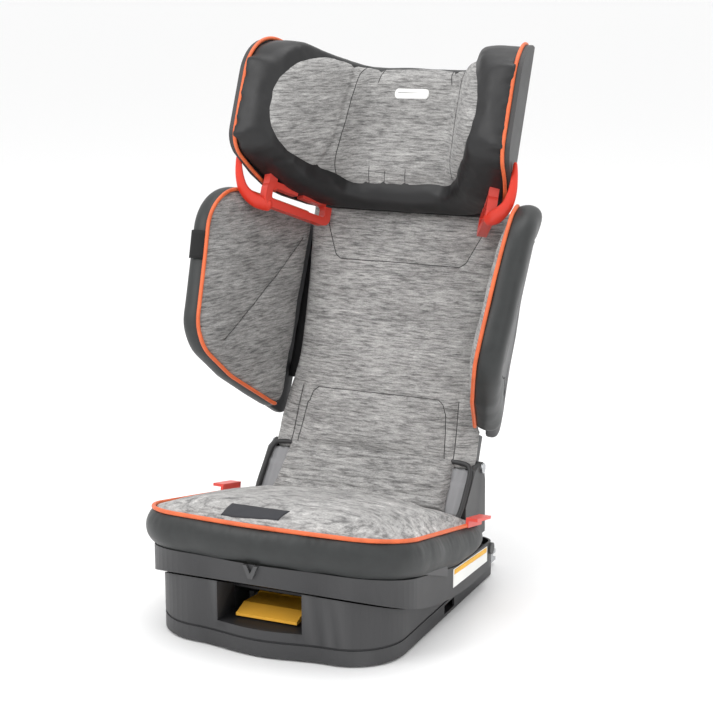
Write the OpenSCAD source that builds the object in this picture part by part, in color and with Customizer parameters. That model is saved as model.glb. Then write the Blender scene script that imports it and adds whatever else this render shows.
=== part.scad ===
// High-back booster seat for a car.
// A cushioned seat reclines on a curved base, its back folds forward, the side
// wings slide apart and the headrest slides up. Millimetres, +Z up, -Y forward.
// The origin lies under the base, on the surface that the seat stands on.

/* [Overall] */
// Width of the seat shell; the base, back, wings and headrest follow it
seat_w = 356; // [340:1:430]
// Distance from the origin to the front corners of the seat shell
seat_front = 190; // [170:1:230]
// Length of the back panel above the fold hinge
back_h = 380; // [320:1:456]

/* [Base] */
// Distance from the origin to the rear of the base
base_rear = 206; // [200:1:240]
// How far the base stands in from the seat shell, each side
base_inset = 14; // [10:1:20]
// Height of the lower tray's top edge
tray_h = 21; // [18:1:24]
// Wall of the moulded base and seat parts
wall = 3; // [2.5:0.1:3.6]
// Thickness of the rubber feet under the tray
foot_h = 2; // [1.5:0.1:3]
// Width of the front recess for the recline handle
recess_w = 116; // [100:1:130]
// Height of the recess floor
recess_floor = 36; // [34:1:38]

/* [Recline] */
// Radius of the curved track on top of the base
recline_r = 720; // [600:1:864]
// Height of the track at its lowest point
saddle_z = 26; // [25:1:30]
// Gap between the seat shell and the base
recline_gap = 2; // [1.5:0.1:3]
// Largest recline in degrees
recline_max = 5; // [4:0.25:5]
// Number of recline positions
recline_steps = 5; // [3:1:6]
// Distance of each slide block from the centre line
slider_x = 95; // [80:1:110]
// Width of the slide block's stem
slider_w = 8; // [6:0.5:10]
// Radius of the handle's pivot pin
handle_pin_r = 3; // [2.4:0.1:3.6]

/* [Lower anchors] */
// Distance of each anchor connector from the centre line (280 apart)
latch_x = 140; // [139:0.5:141]
// Radius of the slot that takes a 6 mm anchor bar
latch_bar_r = 3.05; // [3:0.01:3.2]

/* [Cushion] */
// Height of the piping at the cushion's front
piping_z = 163; // [155:1:170]
// Slope of the cushion, falling to the rear, in degrees
cushion_tilt = 11.5; // [9:0.5:13]
// Height of the cushion's crown above the piping
crown = 21; // [15:1:26]

/* [Fold hinge] */
// Place of the fold hinge, behind the origin
hinge_y = 168; // [165:1:172]
// Height of the fold hinge
hinge_z = 160; // [158:1:164]
// Radius of the hinge pins
hinge_pin_r = 4; // [3.4:0.1:4.8]
// Lean of the back from upright in degrees
lean = 23.3; // [20:0.1:26]

/* [Back] */
// Depth of the hollow inside the back panel
back_depth = 26; // [24:1:30]
// Thickness of the back pad
back_pad_t = 23; // [18:1:24]

/* [Wings] */
// Travel of each wing
wing_travel = 30; // [20:1:36]
// Splay of the wings in degrees
splay = 17.3; // [14:0.1:20]
// Reach of a wing in front of the back
wing_reach = 205; // [180:1:220]
// Teeth on the pinion
pinion_teeth = 12; // [12:2:14]
// Tooth module of the pinion and its racks
tooth_m = 2; // [1.8:0.05:2.2]

/* [Headrest] */
// Height of the headrest's lower edge above the fold hinge, less the panel length
head_drop = 44; // [40:1:50]
// Height of the headrest
head_h = 212; // [180:1:220]
// Depth of the headrest's sides in front of the back
head_reach = 214; // [190:1:230]
// Travel of the headrest
head_travel = 120; // [80:1:120]
// Radius of the headrest's guide rods
rod_r = 5; // [4.2:0.1:6]
// Distance of each guide rod from the centre line
rod_x = 55; // [45:1:60]

/* [Hidden] */
$fn = 48;
fine = 360;
run_clear = 0.05;
slide_clear = 0.5;
eps = 0.01;

// Base
seat_hw = seat_w / 2;
base_hw = seat_hw - base_inset;
base_front = seat_front - 3;
front_bulge = 12;
base_corner = 70;
base_rear_corner = 20;
groove_h = 3;
groove_d = 1.5;
curb_y = 168;
curb_front_z = 49;
curb_rear_z = 39;
track_axis = [0, 100, saddle_z + recline_r];
disc_hw = seat_w * 0.8;
skin_r = recline_r + wall;
seat_r = recline_r - recline_gap;
floor_r = seat_r - wall;
flange_r = floor_r - 3;
recline_step = recline_max / (recline_steps - 1);
vent_y = [13, 48];
vent_z = [6, 18];
screw_at = [[base_hw - 30, -base_front + 70], [latch_x - 36, base_rear - 28]];
screw_r = 2.5;
boss_r = 6;

// Recline handle: a lever on a cross pin, with a pawl under the seat's rack
lever_y = -base_front + 87;
lever_z = 40;
lever_hub_r = handle_pin_r + 3;
lever_hw = 46;
paddle_hw = recess_w / 2 - 16;
paddle_front = 15;
post_top = min(
    lever_z + 7,
    track_axis[2] - sqrt(skin_r * skin_r - pow(track_axis[1] - lever_y - 9, 2)) - 0.5
);
pawl_reach = 47;
pawl_hw = 12;
pawl_t = 8;
pawl_gap = 0.6;
pawl_angle = -asin((track_axis[1] - lever_y - pawl_reach) / recline_r);
rack_hw = 14;
notch_w = 9;
deg_per_mm = 180 / (PI * recline_r);
slider_span = [-60, 40];

// Lower anchors
latch_w = 25;
latch_h = 16;
latch_z = 13.5;
latch_front = 60;
latch_out = 34;
latch_travel = 60;
latch_tip = base_rear + latch_out;
latch_cross_y = [latch_front, latch_front + 16];

// Seat
seat_rear = hinge_y - 3;
seat_corner = 74;
seat_rear_corner = 22;
rim = [[-seat_front - 20, 122], [-20, 80], [20, 72], [seat_rear + 40, 62]];
cushion_hw = seat_hw - 1;
cushion_front = seat_front - 13;
cushion_rear = hinge_y - 62;
cushion_bulge = 20;
tab_y = [-150, -21];
tab_t = 3;
label_y = [6, 132];

// Lower back frame
cheek_x = seat_hw - 30;
cheek_t = 8;
ear_r = hinge_pin_r + 4.5;
lower_pad_hw = seat_hw - 54;
fold_relief_r = 38;
frame_z = 66;

// Back
panel_hw = seat_hw - 60;
panel_w0 = 12;
panel_front = -5;
skin_t = 3;
cover_v = panel_front + skin_t + back_depth;
arm_t = 8;
arm_x = cheek_x - 1 - arm_t;
pad_front = panel_front - back_pad_t;

// Wings
wing_root_x = seat_hw - 33;
wing_root_v = -20;
wing_pad_t = 14;
wing_shell_t = 13;
wing_w0 = 52;
wing_w1 = back_h - 32;
pinion_r = pinion_teeth * tooth_m / 2;
pinion_w = 90;
bar_v = [4, 12];
bar_h = 15;
knob_r = 24;
shaft_r = 6;
pressure = 25;
tooth_add = 0.8 * tooth_m;
tooth_ded = 1.2 * tooth_m;
backlash = 0.35;

// Headrest
head_w0 = back_h - head_drop;
head_w1 = head_w0 + head_h;
head_hw = seat_hw + 28;
head_back = -36;
head_shell_t = 7;
head_rim_t = 16;
head_insert_t = 14;
rod_v = 11;
rod_w0 = 130;
rod_w1 = back_h + 60;
carrier_w0 = back_h + 12;
sleeve_w = [back_h - 130, back_h - 32];
sleeve_h = 26;
tongue_v = [3, 7];

// ---- shared shapes ----

function arc_points(centre, r, a0, a1, steps) =
    [for (i = [0 : steps]) let (a = a0 + (a1 - a0) * i / steps)
        centre + r * [cos(a), sin(a)]];

// Plan of a moulding: rounded corners, with the front edge bowed forward.
module plan(hw, front, rear, rf, rr, bulge) {
    chord = hw - rf;
    steps = 9;
    half = concat(
        [for (i = [0 : steps - 1])
            [chord * i / steps, -front - bulge * (1 + cos(180 * i / steps)) / 2]],
        arc_points([chord, -front + rf], rf, -90, 0, 12),
        arc_points([hw - rr, rear - rr], rr, 0, 90, 8)
    );
    last = len(half) - 1;
    polygon(concat(half, [for (i = [last : -1 : 1]) [-half[i][0], half[i][1]]]));
}

module base_plan(inset) {
    plan(base_hw - inset, base_front - inset, base_rear - inset,
        base_corner - inset, base_rear_corner - inset, front_bulge);
}

module seat_plan(inset) {
    plan(seat_hw - inset, seat_front - inset, seat_rear - inset,
        seat_corner - inset, seat_rear_corner - inset, front_bulge);
}

module cushion_plan(inset) {
    plan(cushion_hw - inset, cushion_front - inset, cushion_rear - inset,
        seat_corner - inset, 58 - inset, cushion_bulge);
}

// A profile in Y and Z, drawn out along X between x0 and x1.
module across(x0, x1) {
    translate([x0, 0, 0]) rotate([90, 0, 90]) linear_extrude(x1 - x0) children();
}

module box(x, y, z) {
    translate([x[0], y[0], z[0]]) cube([x[1] - x[0], y[1] - y[0], z[1] - z[0]]);
}

// Everything above a radius of the recline track, as fine flats along the arc.
module track_disc(r) {
    across(-disc_hw, disc_hw) polygon(concat(
        [for (a = [-28 : 1 : 14]) track_point(r, a)],
        [[track_axis[1] + r / 3, 400], [track_axis[1] - r / 2, 400]]
    ));
}

// A curved bar on the recline track between two angles; rear is positive.
module track_arc(r0, r1, x0, x1, a0, a1) {
    translate(track_axis) rotate([0, 90, 0]) rotate([0, 0, a0])
        rotate_extrude(angle = a1 - a0, $fn = 2 * fine)
            translate([r0, x0]) square([r1 - r0, x1 - x0]);
}

function track_point(r, a) = [track_axis[1] + r * sin(a), track_axis[2] - r * cos(a)];

function track_angle(y) = asin((y - track_axis[1]) / recline_r);

module both_sides() {
    children();
    mirror([1, 0, 0]) children();
}

// The back's own frame: Y is behind the back, Z runs up it from the hinge.
module on_back() {
    translate([0, hinge_y, hinge_z]) rotate([-lean, 0, 0]) children();
}

// The right wing's own frame: X runs forward along it, Y outward, Z up.
module on_wing() {
    on_back() translate([wing_root_x, wing_root_v, 0]) rotate([0, 0, splay - 90]) children();
}

module pin_x(y, z, r, x0, x1) {
    translate([x0, y, z]) rotate([0, 90, 0]) cylinder(r = r, h = x1 - x0);
}

// ---- base ----

module base_tray() {
    color("#3f3f41") difference() {
        union() {
            difference() {
                translate([0, 0, foot_h]) linear_extrude(tray_h - foot_h) base_plan(0);
                translate([0, 0, foot_h + wall]) linear_extrude(tray_h) base_plan(wall);
            }
            for (p = screw_at, s = [-1, 1])
                translate([s * p[0], p[1], foot_h]) cylinder(r = boss_r, h = tray_h - foot_h);
            both_sides()
                box([lever_hw + 4, lever_hw + 10], [lever_y - 9, lever_y + 9],
                    [foot_h, post_top]);
        }
        for (p = screw_at, s = [-1, 1])
            translate([s * p[0], p[1], 0]) cylinder(r = screw_r, h = 2 * tray_h);
        for (p = screw_at, s = [-1, 1])
            translate([s * p[0], p[1], 0]) cylinder(r = boss_r - 1.5, h = foot_h + 2);
        pin_x(lever_y, lever_z, handle_pin_r, -base_hw / 2, base_hw / 2);
        both_sides() box([base_hw - 2 * wall, base_hw + 1], vent_y, vent_z);
        latch_openings();
    }
}

module latch_openings() {
    both_sides()
        box([latch_x - latch_w / 2 - slide_clear, latch_x + latch_w / 2 + slide_clear],
            [base_rear - 2 * wall, base_rear + 1],
            [latch_z - latch_h / 2 - slide_clear, latch_z + latch_h / 2 + slide_clear]);
}

module cover_blank() {
    translate([0, 0, tray_h]) linear_extrude(groove_h + 1) base_plan(groove_d);
    translate([0, 0, tray_h + groove_h]) linear_extrude(100) base_plan(0);
}

module cover_profile() {
    polygon([
        [-base_front - 2 * front_bulge, 0], [-base_front - 2 * front_bulge, 110],
        [curb_y, 110], [curb_y, curb_front_z], [base_rear + 1, curb_rear_z],
        [base_rear + 1, 0]
    ]);
}

module base_cover() {
    color("#454547") difference() {
        intersection() {
            difference() {
                cover_blank();
                difference() {
                    translate([0, 0, tray_h - 1]) linear_extrude(110) base_plan(wall);
                    track_disc(skin_r);
                    recess_lining();
                }
            }
            across(-seat_w, seat_w) cover_profile();
        }
        intersection() {
            track_disc(recline_r);
            box([-seat_w, seat_w], [-seat_front * 2, curb_y], [0, 400]);
        }
        box([-recess_w / 2, recess_w / 2],
            [-base_front - 2 * front_bulge, -base_front + 42], [recess_floor, 130]);
        for (s = [-1, 1])
            track_arc(recline_r - 1, skin_r + 1, s * slider_x - slider_w / 2 - slide_clear,
                s * slider_x + slider_w / 2 + slide_clear,
                track_angle(slider_span[0]) - recline_max - 0.6,
                track_angle(slider_span[1]) + 0.6);
        track_arc(recline_r - 1, skin_r + 1, -pawl_hw - 2, pawl_hw + 2,
            pawl_angle - 8 * deg_per_mm, pawl_angle + 8 * deg_per_mm);
        for (p = screw_at, s = [-1, 1])
            translate([s * p[0], p[1], 0]) cylinder(r = screw_r, h = tray_h + 0.5);
        latch_openings();
    }
    color("#454547") difference() {
        for (p = screw_at, s = [-1, 1])
            translate([s * p[0], p[1], tray_h]) cylinder(r = boss_r, h = 60);
        track_disc(skin_r - 1);
        for (p = screw_at, s = [-1, 1])
            translate([s * p[0], p[1], 0]) cylinder(r = screw_r, h = tray_h + 9);
    }
}

// Floor and side walls of the handle recess.
module recess_lining() {
    box([-recess_w / 2 - wall, recess_w / 2 + wall],
        [-base_front - front_bulge, -base_front + 42], [recess_floor - wall, recess_floor]);
    both_sides()
        box([recess_w / 2, recess_w / 2 + wall],
            [-base_front - front_bulge, -base_front + 42], [recess_floor - wall, 120]);
}

module base_feet() {
    color("#1c1c1e") {
        for (s = [-1, 1]) {
            translate([s * (base_hw - 60), -base_front + 40, 0]) foot(30, 9);
            translate([s * (base_hw - 50), base_rear - 60, 0]) foot(26, 9);
        }
        foot(60, 12);
    }
}

module foot(half_len, r) {
    linear_extrude(foot_h) {
        square([2 * half_len, 2 * r], center = true);
        for (s = [-1, 1]) translate([s * half_len, 0]) circle(r);
    }
}

module base_screws() {
    color("silver") for (p = screw_at, s = [-1, 1])
        translate([s * p[0], p[1], 0]) {
            translate([0, 0, foot_h - 0.5]) cylinder(r = boss_r - 1.5, h = 2.5);
            translate([0, 0, foot_h + 1]) cylinder(r = screw_r, h = tray_h + 6 - foot_h);
        }
}

module handle_pin() {
    color("silver")
        pin_x(lever_y, lever_z, handle_pin_r, -lever_hw - 10, lever_hw + 10);
}

// Torsion spring round the lever's pin, drawn as its separate close turns.
module handle_spring() {
    wire_r = 0.55;
    turns = 3;
    color("silver") for (i = [0 : turns - 1])
        translate([lever_hw + 0.6 + i * (2 * wire_r + 0.04), lever_y, lever_z])
            rotate([0, 90, 0]) rotate_extrude()
                translate([handle_pin_r + wire_r + 0.1, 0]) circle(wire_r, $fn = 16);
}

module lever_profile() {
    tip = -base_front + paddle_front;
    polygon([
        [tip, recess_floor + 2.5], [tip, recess_floor + 6], [tip + 22, recess_floor + 13.5],
        [lever_y, lever_z + lever_hub_r - 1], [lever_y + pawl_reach + 9, lever_z - 5],
        [lever_y + pawl_reach + 9, lever_z - 11], [lever_y, lever_z - lever_hub_r + 1],
        [-base_front + 46, recess_floor + 2.5]
    ]);
}

module recline_handle() {
    color("#f2b20a") difference() {
        union() {
            intersection() {
                across(-paddle_hw, paddle_hw) lever_profile();
                box([-seat_w, seat_w], [-2 * seat_front, lever_y], [0, 200]);
            }
            intersection() {
                across(-pawl_hw - 4, pawl_hw + 4) lever_profile();
                box([-seat_w, seat_w], [lever_y, seat_front], [0, 200]);
            }
            pin_x(lever_y, lever_z, lever_hub_r, -lever_hw, lever_hw);
        }
        pin_x(lever_y, lever_z, handle_pin_r + run_clear, -lever_hw - 1, lever_hw + 1);
        pawl_blank();
    }
}

module pawl_blank() {
    box([-pawl_hw, pawl_hw],
        [lever_y + pawl_reach - pawl_t / 2, lever_y + pawl_reach + pawl_t / 2],
        [lever_z - 12, lever_z + 20]);
}

module recline_pawl() {
    color("silver") difference() {
        pawl_blank();
        track_disc(seat_r + pawl_gap);
    }
}

// ---- lower anchor connectors ----

module latch_arms() {
    color("#8d8f92") both_sides() difference() {
        box([latch_x - latch_w / 2, latch_x + latch_w / 2], [latch_front, latch_tip],
            [latch_z - latch_h / 2, latch_z + latch_h / 2]);
        box([0, seat_w], [latch_tip - 8, latch_tip + 1],
            [latch_z - latch_bar_r, latch_z + latch_bar_r]);
        pin_x(latch_tip - 8, latch_z, latch_bar_r, 0, seat_w);
        button_well();
    }
}

module button_well() {
    box([latch_x - 5, latch_x + 5], [latch_tip - 29, latch_tip - 13.5],
        [latch_z + 2, latch_z + latch_h]);
}

module latch_crossbar() {
    color("#55575a")
        box([-latch_x + latch_w / 2, latch_x - latch_w / 2], latch_cross_y,
            [latch_z - 6, latch_z + 4]);
}

module latch_button() {
    box([latch_x - 5 + 0.3, latch_x + 5 - 0.3], [latch_tip - 24.5, latch_tip - 13.8],
        [latch_z + 2.1, latch_z + latch_h / 2 + 1.5]);
}

module latch_button_right() { color("#c8321f") latch_button(); }
module latch_button_left() { color("#c8321f") mirror([1, 0, 0]) latch_button(); }

// ---- seat ----

module rim_profile(rise) {
    polygon([
        for (p = rim) [p[0], p[1] + rise],
        [rim[3][0], -50], [rim[0][0], -50]
    ]);
}

function piping_height(y) = piping_z - tan(cushion_tilt) * (y + cushion_front);

module seat_shell() {
    color("#4a494b") difference() {
        intersection() {
            linear_extrude(200) seat_plan(0);
            across(-seat_w, seat_w) rim_profile(0);
            track_disc(seat_r);
        }
        intersection() {
            linear_extrude(200) seat_plan(wall);
            track_disc(floor_r);
        }
        for (s = [-1, 1])
            track_arc(floor_r - 1, seat_r + 1, s * slider_x - slider_w / 2,
                s * slider_x + slider_w / 2, track_angle(slider_span[0]),
                track_angle(slider_span[1]));
        track_arc(floor_r - 1, seat_r + 1, -rack_hw, rack_hw, rack_a0, rack_a1);
        pin_x(hinge_y - 22, 56, 4, -seat_w, seat_w);
    }
}

rack_a0 = pawl_angle - 1.2;
rack_a1 = pawl_angle + recline_max + 1.2;

module slide_blocks() {
    color("#d8d8d4") for (s = [-1, 1]) {
        x0 = s * slider_x - slider_w / 2;
        x1 = s * slider_x + slider_w / 2;
        a0 = track_angle(slider_span[0]);
        a1 = track_angle(slider_span[1]);
        track_arc(flange_r, skin_r + 5, x0, x1, a0, a1);
        track_arc(flange_r, floor_r - 0.05, x0 - 8, x1 + 8, a0, a1);
        track_arc(skin_r + slide_clear, skin_r + 5, x0 - 7, x1 + 7, a0, a1);
    }
}

module recline_rack() {
    color("#9a9c9f") difference() {
        union() {
            track_arc(flange_r, seat_r, -rack_hw, rack_hw, rack_a0, rack_a1);
            track_arc(flange_r, floor_r - 0.05, -rack_hw - 6, rack_hw + 6, rack_a0, rack_a1);
        }
        for (i = [0 : recline_steps - 1])
            track_arc(floor_r + 0.2, seat_r + 1, -rack_hw - 1, rack_hw + 1,
                pawl_angle + i * recline_step - notch_w / 2 * deg_per_mm,
                pawl_angle + i * recline_step + notch_w / 2 * deg_per_mm);
    }
}

module seat_foam() {
    color("#e4e2dc") intersection() {
        linear_extrude(200) plan(seat_hw - wall, seat_front - wall, cushion_rear - 6,
            seat_corner - wall, seat_rear_corner, front_bulge);
        across(-seat_w, seat_w) rim_profile(-1);
        track_disc(flange_r - 0.3);
    }
}

module cushion_slab(low, high, inset) {
    intersection() {
        linear_extrude(260) cushion_plan(inset);
        across(-seat_w, seat_w) polygon([
            [-seat_front - 20, piping_height(-seat_front - 20) + high],
            [cushion_rear + 1, piping_height(cushion_rear + 1) + high],
            [cushion_rear + 1, piping_height(cushion_rear + 1) + low],
            [-seat_front - 20, piping_height(-seat_front - 20) + low]
        ]);
    }
}

module cushion_band() {
    color("#3c3d3c") difference() {
        cushion_slab(-70, 0, 0);
        across(-seat_w, seat_w) rim_profile(0.3);
    }
}

module cushion_top() {
    color("#9c9a98") {
        cushion_slab(0, crown * 0.6, 8);
        cushion_slab(crown * 0.6, crown, 34);
    }
}

module cushion_patch() {
    y0 = -cushion_front - 3;
    z0 = piping_height(y0) + crown;
    color("#3a3a3c") translate([-18, y0 + 38, 0]) intersection() {
        translate([0, 0, z0 - 20]) linear_extrude(30) square([76, 26], center = true);
        translate([0, -38 - y0, 0]) across(-80, 80) polygon([
            [y0 - 5, piping_height(y0 - 5) + crown], [y0 + 70, piping_height(y0 + 70) + crown],
            [y0 + 70, piping_height(y0 + 70) + crown + 1],
            [y0 - 5, piping_height(y0 - 5) + crown + 1]
        ]);
    }
}

// V-shaped hook that holds the cover's front edge.
module cover_hook() {
    y = -seat_front - front_bulge;
    color("#2f2f31") translate([-4, y, 0]) rotate([90, 0, 0])
        linear_extrude(4) polygon([
            [-10, 120], [-5, 120], [0, 110], [5, 120], [10, 120], [3, 103], [-3, 103]
        ]);
}

module side_tabs() {
    color("#454547") both_sides() across(seat_hw, seat_hw + tab_t) polygon([
        [tab_y[0] + 34, 107], [tab_y[0] + 34, 131], [tab_y[1], 98], [tab_y[1], 72]
    ]);
}

module side_label() {
    color("white") across(seat_hw, seat_hw + 0.6) polygon([
        [label_y[0], 47], [label_y[0], 72], [label_y[1], 63], [label_y[1], 42]
    ]);
}

// Red lap-belt guides on the cushion's rear corners.
module lap_guides() {
    y0 = cushion_rear - 58;
    z0 = piping_height(y0);
    color("#d9371a") both_sides() translate([cushion_hw + 1, y0, z0 - 2])
        rotate([-cushion_tilt, 0, 0]) {
            cube([4, 52, 13]);
            translate([0, 0, 9]) cube([16, 52, 4]);
        }
}

// ---- lower back ----

module cheek_profile() {
    polygon([
        [hinge_y - 60, frame_z], [hinge_y - 60, hinge_z - 40], [hinge_y - 24, hinge_z + 2],
        [hinge_y, hinge_z + ear_r], [hinge_y + ear_r, hinge_z], [hinge_y + 14, hinge_z - 20],
        [hinge_y + 16, frame_z]
    ]);
    translate([hinge_y, hinge_z]) circle(ear_r);
}

module lower_frame() {
    color("#2e2e30") difference() {
        union() {
            both_sides() across(cheek_x, cheek_x + cheek_t) cheek_profile();
            box([-cheek_x - 1, cheek_x + 1], [hinge_y + 12, hinge_y + 16], [frame_z, hinge_z - 22]);
            box([-cheek_x - 1, cheek_x + 1], [hinge_y - 60, hinge_y + 16], [frame_z, frame_z + 5]);
            both_sides() box([cheek_x, cheek_x + cheek_t], [hinge_y - 60, seat_rear - wall - 1],
                [44, frame_z + 5]);
        }
        pin_x(hinge_y, hinge_z, hinge_pin_r, -seat_w, seat_w);
        pin_x(hinge_y - 22, 56, 4, -seat_w, seat_w);
    }
}

// Ribbed grey panel behind the lower pad, from cheek to cheek.
module lower_panel() {
    color("#7b7c7e") {
        across(-cheek_x, cheek_x) polygon([
            [hinge_y - 45, frame_z + 5], [hinge_y - 31, hinge_z - 48],
            [hinge_y - 15, hinge_z - 30], [hinge_y - 12, hinge_z - 33],
            [hinge_y - 28, hinge_z - 51], [hinge_y - 42, frame_z + 5]
        ]);
        both_sides() for (x = [lower_pad_hw + 5, cheek_x - 6])
            across(x, x + 2) polygon([
                [hinge_y - 32, hinge_z - 49], [hinge_y - 35, hinge_z - 46],
                [hinge_y - 18, hinge_z - 27], [hinge_y - 15, hinge_z - 30.5]
            ]);
    }
}

module lower_back_pad() {
    color("#9c9a98") difference() {
        across(-lower_pad_hw, lower_pad_hw) polygon([
            [hinge_y - 61, hinge_z - 80], [hinge_y - 61, hinge_z - 38],
            [hinge_y - 24, hinge_z + 6], [hinge_y - 15.2, hinge_z - 30],
            [hinge_y - 31.2, hinge_z - 48], [hinge_y - 42.2, hinge_z - 80]
        ]);
        pin_x(hinge_y, hinge_z, fold_relief_r, -seat_w, seat_w);
    }
}

module fold_pins() {
    color("silver") both_sides() {
        pin_x(hinge_y, hinge_z, hinge_pin_r, arm_x, cheek_x + cheek_t);
        pin_x(hinge_y, hinge_z, hinge_pin_r + 3, cheek_x + cheek_t, cheek_x + cheek_t + 3);
    }
}

module pivot_caps() {
    color("#1e1e20") both_sides() {
        pin_x(hinge_y - 22, 56, 4, cheek_x, seat_hw);
        pin_x(hinge_y - 22, 56, 8, seat_hw, seat_hw + 3);
    }
}

// ---- back ----

module back_panel() {
    depth = back_depth;
    color("#333335") on_back() difference() {
        union() {
            box([-panel_hw, panel_hw], [panel_front, cover_v], [panel_w0, back_h]);
            both_sides() {
                box([panel_hw - 1, arm_x + arm_t], [panel_front + 1, ear_r], [18, 44]);
                box([arm_x, arm_x + arm_t], [-ear_r, ear_r], [0, 44]);
                pin_x(0, 0, ear_r, arm_x, arm_x + arm_t);
            }
        }
        box([-panel_hw + skin_t, panel_hw - skin_t],
            [panel_front + skin_t, panel_front + skin_t + depth + 1],
            [panel_w0 + skin_t, back_h - skin_t]);
        pin_x(0, 0, hinge_pin_r + run_clear, 0, seat_w);
        pin_x(0, 0, hinge_pin_r + run_clear, -seat_w, 0);
        for (s = [-1, 1]) translate([s * rod_x, rod_v, back_h - 10])
            cylinder(r = rod_r + 1.5, h = 20);
        box([-24, 24], [panel_front + skin_t, cover_v + 1], [back_h - 10, back_h + 10]);
        bar_slots();
    }
}

module bar_slots() {
    for (s = [-1, 1])
        box([s > 0 ? 0 : -seat_w, s > 0 ? seat_w : 0],
            [bar_v[0] - slide_clear, bar_v[1] + slide_clear],
            bar_span(-s, slide_clear));
}

// Height range of a wing bar: the left bar runs above the pinion, the right below.
function bar_span(above, grow) = above > 0
    ? [pinion_w + pinion_r + tooth_ded - grow, pinion_w + pinion_r + tooth_ded + bar_h + grow]
    : [pinion_w - pinion_r - tooth_ded - bar_h - grow, pinion_w - pinion_r - tooth_ded + grow];

cover_screws = [[panel_hw - 12, 30], [panel_hw - 12, back_h - 16]];

module back_cover() {
    color("#3a3a3c") on_back() difference() {
        union() {
            box([-panel_hw, panel_hw], [cover_v, cover_v + skin_t], [panel_w0, back_h]);
            both_sides() for (p = cover_screws)
                translate([p[0], panel_front + skin_t, p[1]]) rotate([-90, 0, 0])
                    cylinder(r = 5, h = cover_v - panel_front - skin_t + 1);
        }
        both_sides() for (p = cover_screws) translate([p[0], 0, p[1]]) rotate([-90, 0, 0])
            cylinder(r = 2, h = 60);
        translate([0, cover_v - 1, pinion_w]) rotate([-90, 0, 0])
            cylinder(r = shaft_r + run_clear, h = skin_t + 2);
        box([-24, 24], [cover_v - 1, cover_v + skin_t + 1], [back_h - 12, back_h + 10]);
    }
}

module back_screws() {
    color("silver") on_back() both_sides() for (p = cover_screws)
        translate([p[0], 6, p[1]]) rotate([-90, 0, 0]) {
            cylinder(r = 2, h = cover_v + skin_t - 6);
            translate([0, 0, cover_v + skin_t - 6]) cylinder(r = 3.6, h = 1.6);
        }
}

module back_pad() {
    color("#9c9a98") on_back() translate([0, panel_front, 0]) rotate([90, 0, 0])
        linear_extrude(back_pad_t) polygon([
            for (s = [-1, 1]) each [
                [s * (panel_hw + (s > 0 ? 4 : 24)), s > 0 ? 6 : back_h],
                [s * (panel_hw + 12), 200],
                [s * (panel_hw + (s > 0 ? 24 : 4)), s > 0 ? back_h : 6]
            ]
        ]);
}

module rod_sleeves() {
    color("#c9c9c4") on_back() for (s = [-1, 1], w = sleeve_w)
        difference() {
            box([s * rod_x - rod_r - 5, s * rod_x + rod_r + 5],
                [panel_front + skin_t, rod_v + rod_r + 4], [w, w + sleeve_h]);
            translate([s * rod_x, rod_v, w - 1])
                cylinder(r = rod_r + run_clear, h = sleeve_h + 2);
        }
}

rack_v = 17;

module height_rack() {
    pitch = 20;
    color("#9a9c9f") on_back() difference() {
        box([-10, 10], [rack_v, cover_v], [back_h - 140, back_h - 14]);
        for (i = [0 : 5])
            box([-11, 11], [rack_v - 1, rack_v + 3],
                [back_h - 136 + i * pitch, back_h - 124 + i * pitch]);
    }
}

// ---- wings ----

module wing_outline(grow) {
    front_s = wing_reach - 6;
    hull() {
        translate([front_s - 74, wing_w1 - 92]) circle(74 + grow, $fn = 64);
        translate([front_s - 58, wing_w0 + 92]) circle(54 + grow, $fn = 64);
        translate([18, wing_w1 - 34]) circle(16 + grow, $fn = 32);
        translate([18, wing_w0 + 16]) circle(16 + grow, $fn = 32);
    }
}

module wing_slab(n0, n1) {
    translate([0, n1, 0]) rotate([90, 0, 0]) linear_extrude(n1 - n0) children();
}

module wing_pad() {
    on_wing() wing_slab(0, wing_pad_t) wing_outline(0);
}

module wing_shell(above) {
    difference() {
        union() {
            on_wing() wing_slab(wing_pad_t, wing_pad_t + wing_shell_t) difference() {
                hull() {
                    wing_outline(-3);
                    translate([-18, wing_w1 - 40]) circle(14, $fn = 32);
                    translate([-14, wing_w0 + 4]) circle(14, $fn = 32);
                }
            }
        }
        on_back() wing_bar_blank(above);
    }
}

// Tooth of the rack that the pinion drives: straight flanks.
module rack_tooth() {
    half = PI * tooth_m / 4 - backlash / 2;
    slope = tan(pressure);
    polygon([
        [-half - tooth_ded * slope, -tooth_ded], [half + tooth_ded * slope, -tooth_ded],
        [half - tooth_add * slope, tooth_add], [-half + tooth_add * slope, tooth_add]
    ]);
}

function bar_end() = wing_root_x + 11;

module wing_bar_blank(above) {
    box([-wing_travel - 24, bar_end()], bar_v, bar_span(above, 0));
}

// Flat bar from the wing to the pinion, with the rack on one edge.
module wing_bar(above) {
    pitch = PI * tooth_m;
    count = ceil((wing_travel + 14) / pitch);
    edge = pinion_w + above * pinion_r;
    on_back() {
        wing_bar_blank(above);
        for (i = [-count : 1])
            translate([(i + 0.5) * pitch, bar_v[1], edge]) rotate([90, 0, 0])
                linear_extrude(bar_v[1] - bar_v[0]) mirror([0, above > 0 ? 1 : 0])
                    rack_tooth();
    }
}

module wing_shell_right() { color("#47484a") wing_shell(-1); }
module wing_shell_left() { color("#47484a") mirror([1, 0, 0]) wing_shell(1); }
module wing_pad_right() { color("#9c9a98") wing_pad(); }
module wing_pad_left() { color("#9c9a98") mirror([1, 0, 0]) wing_pad(); }
module wing_bar_right() { color("#b4b6b8") wing_bar(-1); }
module wing_bar_left() { color("#b4b6b8") mirror([1, 0, 0]) wing_bar(1); }

// Blank woven tag sewn into the left wing's front edge.
module wing_tag() {
    color("#151516") mirror([1, 0, 0]) on_wing()
        box([wing_reach - 5.8, wing_reach + 7], [4, 6], [wing_w1 - 108, wing_w1 - 74]);
}

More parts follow.
